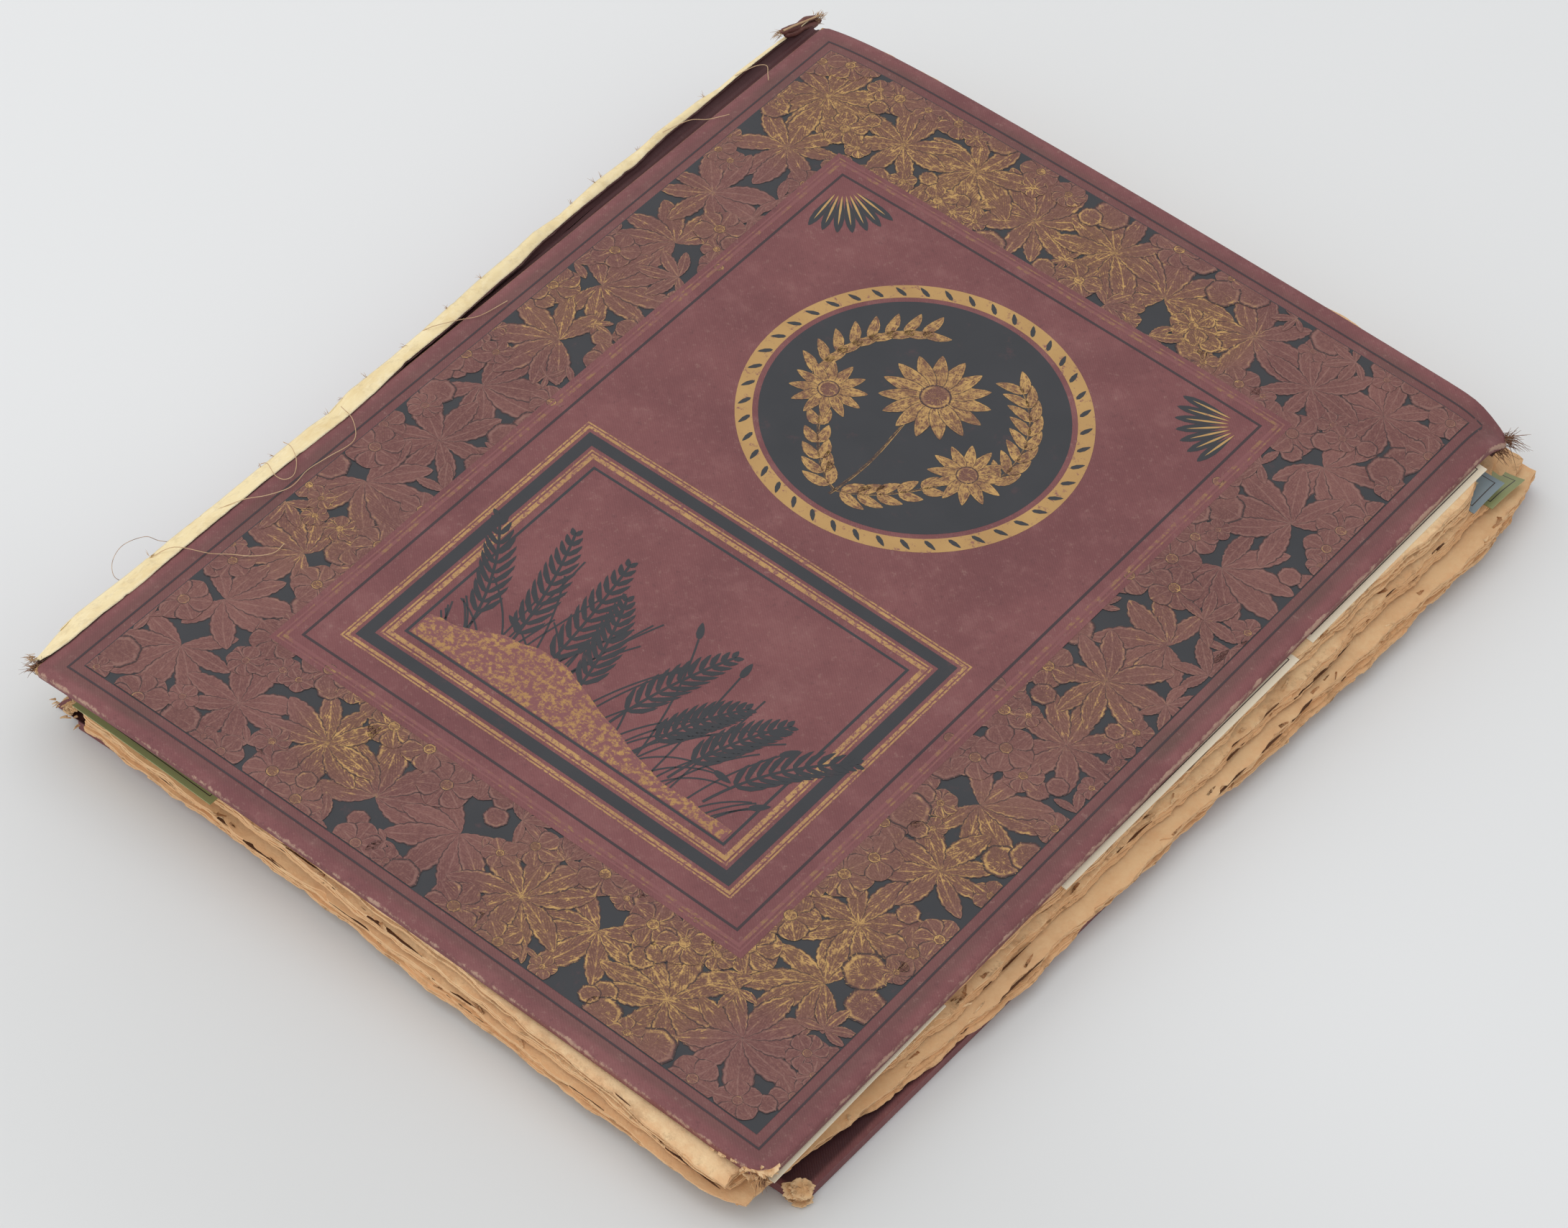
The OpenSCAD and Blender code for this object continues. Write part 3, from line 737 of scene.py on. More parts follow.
def border_foliage():
    """Large leaves along the border, then blossoms, discs and small leaves in what is left free."""
    rng = random.Random(11)
    leaves = Skin()
    placed = []
    for n, (u, v, heading) in enumerate(band_places(rng)):
        side = 1 if n % 2 else -1
        normal = heading + pi / 2
        u, v = around((u, v), -side * 2.5, normal)
        turn = normal + (0 if side > 0 else pi) + rng.uniform(-0.5, 0.5)
        full = rng.random() < 0.6
        placed.append((*around((u, v), 0 if full else 4.5, turn), 11.0))
        count = rng.choice((8, 9)) if full else 7
        size = rng.uniform(20, 24)
        spread = 5.5 if full else 4.0
        palm_leaf(leaves, (u, v), size, turn, spread, count, 0.09 + 0.03 * (n % 3), rng)
    number = 0
    for attempt in range(TRIES):
        u = rng.uniform(BAND[0], BAND[2])
        v = rng.uniform(BAND[1], BAND[3])
        kind = rng.random()
        size = rng.uniform(*((6.0, 8.0) if kind < 0.45 else (4.6, 6.2) if kind < 0.65 else (7.5, 11)))
        size *= 1.0 if attempt < LARGE_TRIES else 0.62
        near = 0.56 * size
        if not in_box(BAND, u, v) or in_box(shrunk(FIELD, -2.0), u, v):
            continue
        if any(hypot(u - a, v - b) < near + r for a, b, r in placed):
            continue
        placed.append((u, v, near))
        lift = 0.17 + 0.005 * (number % 8)
        number += 1
        shade = rng.uniform(0.2, 0.7)
        if kind < 0.45:
            blossom(leaves, (u, v), size, lift, shade, rng.choice((5, 6)), rng.uniform(0, 6))
        elif kind < 0.65:
            disc(leaves, (u, v), size, lift, (None, shade), 7, 0.05)
        elif kind < 0.85:
            palm_leaf(leaves, (u, v), size * 1.25, rng.uniform(0, 6.28), 3.6, 5, lift, rng, shade)
        else:
            blossom(leaves, (u, v), size * 0.9, lift, shade, rng.choice((7, 8)), rng.uniform(0, 6))
    obj = leaves.build("border_foliage", "front_cover", foliage)
    keep_inside(obj, shrunk(BAND, 0.3))


def cover_print():
    """The black ground, the border's foliage and the plain field with its lines."""
    ground = Skin()
    patch(ground, BAND, 0.06, (0, 0))
    ground.build("border_ground", "front_cover", ink)
    border_foliage()
    field = Skin()
    patch(field, shrunk(FIELD, -6), FIELD_LIFT, (0, 0.05), 3.0)
    field.build("panel_field", "front_cover", cloth)
    lines = Skin()
    frame_line(lines, EDGE_FRAME, 0.6, 0.07)
    frame_line(lines, FIELD, 0.8, FIELD_LIFT + 0.02)
    lines.build("frame_lines", "front_cover", line_ink)
    hair = Skin()
    for out, width in ((4.6, 0.5), (3.5, 1.0)):
        frame_line(hair, shrunk(FIELD, -out), width, FIELD_LIFT + 0.02)
    hair.build("gilt_hairlines", "front_cover", hairline)


# The middle of the cover: a black roundel with a gilt spray above a framed panel of ferns.
MID_U = (FIELD[0] + FIELD[2]) / 2
ROUNDEL = (MID_U, 220)
ROUNDEL_R = 43
WREATH_R = 31.5
FRAME = (MID_U - 63, 62, MID_U + 63, 157)
GRASS_V = FRAME[1] + 10.4
PRINT_LIFT = FIELD_LIFT + 0.02
STEM_LIFT = FIELD_LIFT + 0.04
LEAF_LIFT = FIELD_LIFT + 0.045
BLACK = (0, 0)
SPRAY_TONE = (0.95, 0.1)


def ribbon(skin, path, width, lift, tone):
    """A thin printed stem along a path."""
    last = len(path) - 1

    def make(i, j):
        heading = heading_of(path[max(i - 1, 0)], path[min(i + 1, last)])
        return on_cover(*turned(path[i], 0, (j - 0.5) * width, heading), lift), (*tone, 1), (i, j)

    skin.grid(len(path), 2, make)


def grown_stem(root, heading, turn, height, steps, box=None):
    """The path of a stem that turns at each step and ends where it leaves the box; also its last heading."""
    path = []
    u, v = root
    for _ in range(steps):
        if box and not (box[0] < u < box[2] and v < box[3]):
            break
        path.append((u, v))
        u, v = around((u, v), height / steps, heading)
        heading -= turn
    return path, heading


def blade(skin, root, lean, height, seeded):
    """A black blade of grass that bends over, now and then with a head of seed."""
    path, heading = grown_stem(root, pi / 2 - lean * 0.45, lean * 0.1, height, 12, shrunk(FRAME, 11))
    if len(path) < 4:
        return
    ribbon(skin, path, 0.55, FIELD_LIFT + 0.03, BLACK)
    if seeded:
        leaflet(skin, path[-1], heading, 6, 2.2, FIELD_LIFT + 0.034, BLACK, rows=6, columns=3)


def fern(skin, root, lean, height, lift):
    """A black fern frond that arches to one side."""
    steps = 14
    path, _ = grown_stem(root, pi / 2 - lean * 0.5, lean * 0.09, height, steps)
    ribbon(skin, path, 0.8, lift, BLACK)
    for n in range(3, steps):
        heading = heading_of(path[n - 1], path[n])
        size = 8.5 * sin(pi * (0.18 + 0.8 * n / steps)) + 0.8
        for side in (-1, 1):
            angle = heading + side * 0.85
            leaflet(skin, path[n], angle, size, 1.7, lift + 0.005, BLACK, -side * 0.3, rows=5, columns=3)


def gilt_spray(spray):
    """Three flowers, two stems with leaves, a wreath of leaves at each side and a stalk."""
    mid, high = ROUNDEL
    small = {"rows": 9, "columns": 5}
    flowers = ((mid, high + 9, 15, 15), (mid - 24, high - 8, 10.5, 12), (mid + 24, high - 8, 10.5, 12))
    for su, sv, size, count in flowers:
        for n in range(count):
            a = FULL_TURN * n / count
            root = around((su, sv), 0.2 * size, a)
            lift = FIELD_LIFT + 0.05 + 0.002 * n
            leaflet(spray, root, a, size * 0.85, size * 0.34, lift, SPRAY_TONE, **small)
        disc(spray, (su, sv), size * 0.3, FIELD_LIFT + 0.085, (0.5, 0.8))
    for side in (-1, 1):
        stem = [(mid + side * 24 * t, high - 36 + 18 * t * t + 8 * t) for t in [n / 12 for n in range(13)]]
        ribbon(spray, stem, 0.8, STEM_LIFT, SPRAY_TONE)
        for n in range(1, 12, 2):
            heading = heading_of(stem[n - 1], stem[n])
            for turn in (-1, 1):
                angle = heading + turn * 0.8
                leaflet(spray, stem[n], angle, 9 - 0.3 * n, 3.6, LEAF_LIFT, SPRAY_TONE, -0.3 * turn, **small)
        for n in range(8):
            a = radians(90 - side * (34 + 66 * n / 7))
            for turn in (-0.5, 0.6):
                root = around(ROUNDEL, WREATH_R, a)
                leaflet(spray, root, a + side * (1.5 + turn), 8.5, 3.4, LEAF_LIFT, SPRAY_TONE, 0.3, **small)
        path = [around(ROUNDEL, WREATH_R, radians(90 - side * (30 + 76 * n / 19))) for n in range(20)]
        ribbon(spray, path, 0.7, STEM_LIFT, SPRAY_TONE)
    stalk = [(mid + 1.2 * sin(n / 3), high - 38 + 3.1 * n) for n in range(14)]
    ribbon(spray, stalk, 0.9, STEM_LIFT, SPRAY_TONE)


def cover_centre():
    rng = random.Random(5)
    black = Skin()
    gilt = Skin()
    outer = ROUNDEL_R + 6.4
    disc(black, ROUNDEL, ROUNDEL_R, PRINT_LIFT, BLACK, rows=18, columns=97)
    disc(gilt, ROUNDEL, outer, PRINT_LIFT, (0.9, 0), rows=3, columns=97, hole=(ROUNDEL_R + 1.6) / outer)
    for n in range(44):
        a = FULL_TURN * n / 44
        root = around(ROUNDEL, ROUNDEL_R + 2.2, a)
        leaflet(black, root, a + 0.7, 4.4, 1.5, STEM_LIFT, BLACK, rows=5, columns=3)
    frame_line(black, FRAME, 3.6, PRINT_LIFT)
    frame_line(black, shrunk(FRAME, 9), 0.8, PRINT_LIFT)
    lines = Skin()
    for inset, width in ((-2.8, 0.5), (-1.9, 0.9), (4.6, 0.5), (5.6, 1.4)):
        frame_line(lines, shrunk(FRAME, inset), width, PRINT_LIFT)
    lines.build("panel_gilt_lines", "front_cover", gilding)
    spray = Skin()
    gilt_spray(spray)

    for n in range(8):
        su = FRAME[0] + 22 + (FRAME[2] - FRAME[0] - 44) * n / 7
        lean = clamp((su - MID_U) / 80 + rng.uniform(-0.2, 0.2), -0.6, 0.6)
        fern(black, (su, GRASS_V + 6), lean, rng.uniform(34, 54), FIELD_LIFT + 0.03 + 0.002 * n)
    for n in range(46):
        su = rng.uniform(FRAME[0] + 16, FRAME[2] - 16)
        lean = clamp((su - MID_U) / 60 + rng.uniform(-0.7, 0.7), -1, 1)
        blade(black, (su, GRASS_V + 2), lean, rng.uniform(22, 52), rng.random() < 0.3)
    mound = Skin()

    def ground(i, j):
        su = FRAME[0] + 10.4 + (FRAME[2] - FRAME[0] - 20.8) * i / 60
        height = 13 * exp(-((su - MID_U + 18) / 30) ** 2) + 4 + 1.6 * rough(su / 7, 3.3)
        return on_cover(su, GRASS_V - 0.4 + height * j / 5, FIELD_LIFT + 0.06), (0.8, 0, 0), (su, j)

    mound.grid(61, 6, ground)
    mound.build("centre_mound", "front_cover", stipple)
    # A small pleated fan in both corners of the plain field at the head.
    for cu, start in ((FIELD[2] - 3, 188), (FIELD[0] + 3, 278)):
        for n in range(7):
            a = radians(start + 74 * n / 6)
            root = around((cu, FIELD[3] - 3), 5, a)
            leaflet(black, root, a, 15, 3.0, FIELD_LIFT + 0.03, BLACK, blunt=1.5, rows=8, columns=3)
            leaflet(gilt, root, a, 12, 0.7, STEM_LIFT, (0.8, 0), rows=5, columns=3)
    black.build("centre_black", "front_cover", ink)
    gilt.build("centre_gilt", "front_cover", gilding_full)
    spray.build("centre_spray", "front_cover", foliage)


# Leaves: ragged sheets that fan out between the back cover and the bent front cover.
# They lie in packets: for each leaf the packet's tear, and its reach at the fore edge and at the tail.
PACKET = (0, 2, 2, 2, 5, 5, 5, 7, 7, 9, 9)
REACH = (0, 0.2, -0.2, -0.9, 0.6, 0.1, -0.4, 3.4, 2.7, 1.6, 1.9)
TAIL_REACH = (0, 0.6, 0.3, -0.4, 0.3, 0.1, -0.5, 1.3, 0.8, 0.2, 0.9)
# How pale each leaf is.
LEAF_TINTS = (0.95, 0.8, 0.5, 0.75, 0.3, 0.6, 0.7, 0.5, 0.15, 0.4)
# Sheets between which the block has opened, counted from below, and how far in sheets.
OPENINGS = (8, 14, 17)
OPENING = 1.4
SHEETS = 20
BLOCK_SHARES = SHEETS + OPENING * len(OPENINGS)
# A sheet fills this much of its share of the height.
SHEET_ABOVE = 0.86 / BLOCK_SHARES


def torn(s, seed):
    """The CAD source's wavy tear, with its angles in degrees."""
    waves = ((0.45, 2.3, 71), (0.3, 7.1, 137), (0.25, 19.7, 53))
    return sum(size * sin(radians(pace * s + shift * seed)) for size, pace, shift in waves)


def fore_edge(k, y):
    """Where leaf k ends on the fore-edge side."""
    x = LEAF_X + LEAF_W - 3.6 + 6.6 * k / LEAVES + 8 * (y / BOARD_L - 0.5) + 1.3 * torn(y, PACKET[k])
    x += REACH[k]
    x += 0.25 * torn(2.3 * y, k)
    x -= 8.5 * max(0, 1 - (y + 10) / 85) ** 1.3 * (0.4 + 0.6 * k / LEAVES)
    return x - (24 if k <= 3 else 15 if k <= 5 else 5) * max(0, (y - 289) / 35) ** 2


def tail_edge(k, x):
    """Where leaf k ends at the tail; the upper leaves leave a ledge near the spine."""
    tear = 1.0 * torn(x, PACKET[k] + 20) + 0.25 * torn(2.3 * x, k + 20)
    ledge = 3.6 * blend_in(x, 9, 15) * blend_in(x, 66, 52) if k <= 3 else 0
    corner = 5.5 * max(0, (x - 222) / 26) ** 2 if k > 2 else 0
    return -1 - 14 * (x - LEAF_X) / LEAF_W + tear - TAIL_REACH[k] + ledge + corner


def head_edge(k, x):
    return 322 + 0.6 * k + 1.3 * torn(x, k + 40)


def sheet_share(number):
    """Share of the block's height at which a sheet lies, with the openings left empty."""
    return (number + OPENING * sum(number >= n for n in OPENINGS)) / BLOCK_SHARES


def level(share, x, y):
    """Height of a layer of the block: share 0 is its underside, 1 is just under the front cover."""
    ceiling = cover_top(x, y) - COVER_T - 0.4
    bow = sin(pi * share)
    wave = 0.4 * rough(x / 60, y / 60, share * 2) * bow
    fore = blend_in(x, 236, 256)
    tail = blend_in(y, 4, -14)
    edge = (0.4 * fore * rough(3.1, y / 50, share * 2) + 0.4 * tail * rough(x / 50, 7.3, share * 2)) * bow
    droop = (fore * 1.6 + tail * 0.6) * share * (1 - 0.75 * share)
    return BLOCK_Z + share * (ceiling - BLOCK_Z) + wave + edge - droop


def sheet_outline(k, layer, rag):
    """Ragged outline of one sheet, anticlockwise from the spine end of its tail."""
    seed = k * 7.31 + layer * 2.17
    points = []

    def fray(s, amount):
        deep = 5.0 * max(0, rough(s / 5, seed, 8.8) - 0.38)
        wide = 0.2 * rough(s / 24, seed) + 0.25 * rough(s / 3.7, seed, 2.2)
        return amount * (wide + 0.3 * rough(s / 1.3, seed, 5.5) - deep)

    fore = fore_edge(k, -8)
    steps = 210
    for n in range(steps):
        x = LEAF_X + (fore - LEAF_X) * n / steps
        points.append((x, tail_edge(k, x) - fray(x, rag * 0.6)))
    steps = 300
    for n in range(steps + 1):
        t = n / steps
        y = tail_edge(k, fore) * (1 - t) + head_edge(k, 240) * t
        points.append((fore_edge(k, y) + fray(y + 400, rag), y))
    steps = 120
    fore = points[-1][0]
    for n in range(1, steps + 1):
        x = fore + (LEAF_X - fore) * n / steps
        points.append((x, head_edge(k, x) + fray(x + 800, rag * 0.6)))
    steps = 30
    for n in range(1, steps):
        y = head_edge(k, LEAF_X) * (1 - n / steps) + tail_edge(k, LEAF_X) * n / steps
        points.append((LEAF_X + 0.3 * rough(y / 6, seed), y))
    return points


def draped_slab(skin, outline, inner, height, tone):
    """A closed thin slab of any outline; height(x, y) gives its two faces, tone(x, y, rim) its values."""
    count = len(outline)
    spots = [Vector(p) for p in outline] + [Vector(p) for p in inner]
    verts, _, faces, origins, _, _ = delaunay_2d_cdt(spots, [], [list(range(count))], 1, 1e-6)
    top = []
    bottom = []
    for v, origin in zip(verts, origins):
        rim = 1.0 if origin and origin[0] < count else 0.0
        under, over = height(v.x, v.y)
        shake = rim * 0.1 * rough(v.x / 2.0, v.y / 2.0, over)
        values = tone(v.x, v.y, rim)
        top.append(skin.add((v.x, v.y, over + shake), *values))
        bottom.append(skin.add((v.x, v.y, under + shake), *values))
    edges = set()
    for face in faces:
        skin.faces.append(tuple(top[i] for i in face))
        skin.faces.append(tuple(bottom[i] for i in reversed(face)))
        edges.update(zip(face, face[1:] + face[:1]))
    for a, b in edges:
        if (b, a) not in edges:
            skin.faces.append((bottom[a], bottom[b], top[b], top[a]))


def leaf_sheet(skin, k, layer, number, rag, tint, dirt):
    """Adds one closed sheet of paper to a leaf."""
    outline = sheet_outline(k, layer, rag)
    count = len(outline)
    inner = []
    for n in range(0, count, 3):
        a = Vector(outline[n - 1])
        b = Vector(outline[(n + 1) % count])
        normal = Vector((a.y - b.y, b.x - a.x))
        if normal.length > 1e-6:
            inner.append(Vector(outline[n]) + normal.normalized() * 2.4)
    inner += [(20 + 13 * i, 4 + 13 * j) for i in range(17) for j in range(25)]
    share = sheet_share(number)

    def height(x, y):
        return level(share, x, y), level(share + SHEET_ABOVE, x, y)

    def tone(x, y, rim):
        far = 0.5 + 0.5 * rough(x / 30, y / 30, number)
        return (clamp(tint + 0.3 * (far - 0.5)), rim, dirt * (0.3 + 0.7 * rim) * far), (x, y)

    draped_slab(skin, outline, inner, height, tone)


def album_leaves():
    rng = random.Random(21)
    for k in range(1, LEAVES + 1):
        skin = Skin()
        for layer in range(2):
            number = (LEAVES - k) * 2 + layer
            rag = 0.7 if k < 3 else rng.uniform(0.8, 1.3)
            tint = clamp(LEAF_TINTS[k - 1] + rng.uniform(-0.2, 0.2))
            leaf_sheet(skin, k, layer, number, rag, tint, rng.uniform(0.1, 0.9))
        obj = skin.build(f"leaf_{k:02}_sheets", f"leaf_{k:02}", leaf_paper, smooth=False)
        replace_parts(obj, f"leaf_{k:02}")


# Cards: (left, low, right, high, turn in degrees) on leaf 1, then those that show at the edges of others,
# which also have their hue and age.
CARD_T = 0.28
FIRST_CARDS = (
    (142, -7, 246.0, 62, 0.5), (144, 112, 247.2, 214, -0.6), (146, 221, 247.4, 304, -0.4),
    (24, 10, 128, 80, 1.0), (26, 118, 130, 186, -0.8), (24, 224, 130, 296, 0.6),
)
SHOWN_CARDS = {
    3: ((27, -0.9, 118, 40, -2.6, 0.1, 0.0),),
    4: ((11.5, -6.7, 62, 33, -2.0, 0.1, 0.7), (200, 294.0, 250.8, 309.5, 0.4, 0.1, 1.0)),
    6: ((200, 302, 252.4, 318.6, -0.6, 0.1, 0.7),),
}
# Distances from a card's edge at which its printed lines start and end.
CARD_LINES = (0, 0.9, 1.75, 1.95, 2.15, 5.0, 6.5)


def card_stops(length):
    near = list(CARD_LINES)
    rest = length - 2 * near[-1]
    count = max(2, round(rest / 8))
    between = [near[-1] + rest * n / count for n in range(1, count)]
    return near + between + [length - s for s in reversed(near)]


def card(skin, k, x0, y0, x1, y1, turn, hue, age=0.0):
    """One mounted card that lies on leaf k and follows its bend."""
    share = sheet_share((LEAVES - k) * 2 + 1.75)
    middle = Vector(((x0 + x1) / 2, (y0 + y1) / 2))
    across = card_stops(x1 - x0)
    along = card_stops(y1 - y0)
    rows, columns = len(along), len(across)

    def face(under):
        def make(i, j):
            a = x0 + across[j]
            b = y0 + along[i]
            x, y = turned(middle, a - middle.x, b - middle.y, radians(turn))
            inset = 0.9 if under else min(a - x0, x1 - a, b - y0, y1 - b)
            z = level(share, x, y) + 0.05 + (0 if under else CARD_T)
            return (x, y, z), (hue, (b - y0) / (y1 - y0), age), (inset, b - y0)
        return make

    top = skin.grid(rows, columns, face(False))
    bottom = skin.grid(rows, columns, face(True))
    ring = list(range(columns)) + [i * columns + columns - 1 for i in range(1, rows)]
    ring += [(rows - 1) * columns + j for j in range(columns - 2, -1, -1)]
    ring += [i * columns for i in range(rows - 2, 0, -1)]
    for a, b in zip(ring, ring[1:] + ring[:1]):
        skin.faces.append((bottom + a, bottom + b, top + b, top + a))


def album_cards():
    rng = random.Random(8)
    for k in range(1, LEAVES + 1):
        skin = Skin()
        if k == 1:
            for place_and_turn in FIRST_CARDS:
                card(skin, k, *place_and_turn, rng.random())
        else:
            for n in range(6):
                far, near = divmod(n, 3)
                if k % 2:
                    x0, y0, width, length = 24 + 112 * far, 18 + 98 * near, 104, 70
                else:
                    x0, y0, width, length = 22 + 75 * near, 20 + 146 * far, 70, 108
                turn = rng.uniform(-1.5, 1.5)
                card(skin, k, x0, y0, x0 + width, y0 + length, turn, rng.random(), 0.2 * rng.random())
        for shown in SHOWN_CARDS.get(k, ()):
            card(skin, k, *shown)
        obj = skin.build(f"cards_{k:02}_printed", f"leaf_{k:02}", cards_stock, smooth=False)
        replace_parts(obj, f"cards_{k:02}")


# Spine: the bare lining has lost its cloth; its inner layer has peeled towards the cover.
# Its two long edges, as (y, x, z) along the fold towards the cover and (y, z) along the outer side.
STRIP_INNER = (
    (-8, 0.6, 28.2), (-3, 1.7, 28.4), (3, 2.1, 28.6), (16, 1.9, 28.9), (25, 2.3, 29.1), (52, 1.9, 29.9),
    (79, 1.8, 30.6), (97, 2.2, 31.1), (112, 2.6, 31.7), (124, 1.9, 31.9), (138, 0.6, 32.1), (152, 0.4, 32.4),
    (170, -0.4, 32.8), (188, -1.2, 33.1), (198, -2.6, 33.2), (220, -3.3, 33.5), (240, -3.0, 34.0),
    (255, -4.2, 34.6), (271, -4.1, 34.9), (290, -4.3, 35.6), (307, -4.2, 35.7), (322, -4.0, 36.0),
)
STRIP_OUTER = (
    (-8, 20.6), (-3, 22.0), (1, 23.6), (5, 25.0), (10, 26.1), (28, 25.9), (46, 26.5), (65, 26.5), (83, 27.3),
    (101, 28.0), (110, 27.3), (118, 29.8), (136, 29.9), (154, 31.3), (171, 33.1), (189, 34.4), (197, 35.7),
    (208, 34.8), (224, 36.6), (243, 36.2), (251, 37.3), (270, 37.2), (280, 35.8), (289, 36.5), (307, 36.1),
    (322, 35.2),
)
STRIP_ROWS = 420
STRIP_Y = (-6.5, 321.0)
# Where the upright lining, the fold's outer edge and the cloth outside stand.
LINER_X = -4.75
FOLD_X = -5.2
OUTSIDE_X = -5.5
LINER_Z = 7


def along_line(table, s, part=1):
    """Value at s on a line of rows that start with their place."""
    for a, b in zip(table, table[1:]):
        if s <= b[0]:
            return a[part] + (b[part] - a[part]) * clamp((s - a[0]) / (b[0] - a[0]))
    return table[-1][part]


def strip_tear(y, seed):
    """Depth torn off the strip's edge, with a few pointed tears."""
    deep = 3.0 * max(0, rough(y / 4.5, seed, 1.7) - 0.42)
    return 0.35 * rough(y / 9, seed) + 0.2 * rough(y / 2.2, seed, 3.1) + deep


def strip_place(i, t=1.0, slant=0.0, short=0.0):
    """Place along the strip; its tail end is torn off slantwise, more towards the floor."""
    start = STRIP_Y[0] + short + slant * (1 - t)
    return start + (STRIP_Y[1] - start) * i / (STRIP_ROWS - 1)


def strip_edges(y):
    """Inner and outer edge of the folded-over part of the strip near y."""
    inner = (along_line(STRIP_INNER, y), y, along_line(STRIP_INNER, y, 2))
    lean = 1.4 * blend_in(y, 170, 215)
    outer_z = along_line(STRIP_OUTER, y) - 1.745 * lean
    return inner, (FOLD_X - lean, y + 3 * blend_in(y, 170, 60) + 1.35 * lean, outer_z)


def upright_lining(offset):
    """The lining that stands along the back of the block."""
    def make(i, j):
        t = j / 9
        y = strip_place(i, t, 10.0, 13.0)
        inner, outer = strip_edges(y)
        reach = (LINER_X - outer[0]) / (inner[0] - outer[0])
        top = outer[2] + reach * (inner[2] - outer[2]) - 0.35
        point = (LINER_X + 0.15 * rough(y / 40, 2.2) + offset, y, LINER_Z + (top - LINER_Z) * t)
        return point, (0.5 + 0.5 * rough(y / 20, 5), 0, 0.1), (y, 20 * t)
    return make


def folded_lining(under):
    """The part of the lining that is folded over towards the cover and torn."""
    def make(i, j):
        y = strip_place(i)
        t = j / 10
        inner, outer = strip_edges(y)
        torn_off = max(0, strip_tear(y, 4.9)) * 0.45
        ragged = 0.5 * strip_tear(y, 8.2)
        x = inner[0] - ragged + (outer[0] + 0.6 * torn_off - inner[0] + ragged) * t
        z = inner[2] + (outer[2] - 0.7 * torn_off - inner[2]) * t + 0.4 * sin(pi * t) - under
        ridge = 0.12 * rough(y / 30, t * 3, 4.4)
        tone = (0.5 + 0.5 * rough(y / 26, 7, t), 1.0 if j in (0, 10) else 0.0, 0.12)
        return (x, inner[1] + (outer[1] - inner[1]) * t, z + ridge), tone, (y, 20 * t)
    return make


def outside_cloth(offset):
    """What is left of the cloth outside the lining."""
    def make(i, j):
        t = j / 9
        y = strip_place(i, t, 10.0, 13.0)
        outer = strip_edges(y)[1]
        lost = 0.7 + 1.2 * (0.5 + 0.5 * rough(y / 17, 9.4)) + 1.2 * max(0, rough(y / 3, 2.8))
        high = outer[2] - lost
        bend = blend_in(t, 0.75, 1.0)
        rim = 1.0 if j == 9 else 0.0
        x = OUTSIDE_X + (outer[0] - FOLD_X) * bend + offset
        return (x, y + (outer[1] - y) * bend, 1.0 + (high - 1.0) * t), (rim * 0.9, 0.2, rim * 0.5), (y, t)
    return make


def inner_wall(under):
    """Cloth painted dark as shade, from the fold's inner edge down into the groove beside the cover."""
    def make(i, j):
        y = strip_place(i)
        inner, outer = strip_edges(y)
        peek = 0.35 + 0.5 * max(0, rough(y / 5, 6.1)) - 0.5 * strip_tear(y, 8.2)
        floor = cover_top(2.2, y) - 3.3
        back = min(inner[0] - 0.2, -2.9)
        fall = (inner[2] - outer[2]) / (inner[0] - outer[0])
        under_fold = inner[2] - fall * (inner[0] - back) - 0.75
        floor = under_fold - 0.6 + (floor - under_fold + 0.6) * blend_in(y, 4, 16)
        stops = (
            (inner[0] + peek, inner[2] - 0.3), (inner[0] - 0.8, inner[2] - 0.8 * fall - 0.6),
            (back, under_fold), (back + 0.3, (under_fold + floor) / 2),
            (back + 0.8, floor + 0.4), (max(back + 1.2, -2.2), floor),
        )
        part = j / 3
        n = min(int(part), 4)
        x, z = (a + (b - a) * (part - n) for a, b in zip(stops[n], stops[n + 1]))
        return (x, y, z - under), (0.5 if j == 0 else 0.1, 0.3, 0), (y, part)
    return make


def spine_strip():
    """The bare spine lining, with what is left of its cloth and the wall behind it, painted dark as shade."""
    liner = Skin()
    liner.doubled(STRIP_ROWS, 10, upright_lining, -0.3)
    liner.doubled(STRIP_ROWS, 11, folded_lining, 0.3)
    obj = liner.build("spine_liner_torn", "spine_flap", liner_paper)
    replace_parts(obj, "spine_liner")
    skin = Skin()
    skin.doubled(STRIP_ROWS, 10, outside_cloth, -0.3)
    obj = skin.build("spine_cloth_torn", "spine_flap", cloth)
    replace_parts(obj, "spine_cloth")
    # The wall's dark colour is painted shade in the gap beside the spine.
    wall = Skin()
    wall.doubled(STRIP_ROWS, 16, inner_wall, 0.2)
    wall.build("spine_inner_shade_cloth", "spine_flap", painted_shade_cloth)


def joint_fold():
    """The front cover's joint: cloth that rolls down from the board into a groove with fine folds, painted
    dark as shade.
    """
    skin = Skin()
    rows, columns = 200, 14

    def face(under):
        def make(i, j):
            y = -4.5 + 324.5 * i / (rows - 1)
            t = j / (columns - 1)
            width = 1.2 + 3.3 * clamp(y / BOARD_L) + 0.25 * rough(y / 12, 4.4)
            x = 2.6 - (width + 0.9) * t
            roll = 0.3 + 2.6 * sin(0.5 * pi * min(1, t * 1.15))
            fold = 0.16 * sin(FULL_TURN * (2.6 * t + 0.2 * rough(y / 30, 1.1)))
            last = j == columns - 1
            z = cover_top(2.6, y) - roll + fold - under + (strip_tear(y, 3.3) * 0.3 if last else 0)
            return (x, y, z), (0.5 if last else 0.05, 0.4, 0), (y, t)
        return make

    skin.doubled(rows, columns, face, 0.35)
    obj = skin.build("joint_groove", "front_cover", painted_shade_cloth)
    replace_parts(obj, "front_joint_cloth")


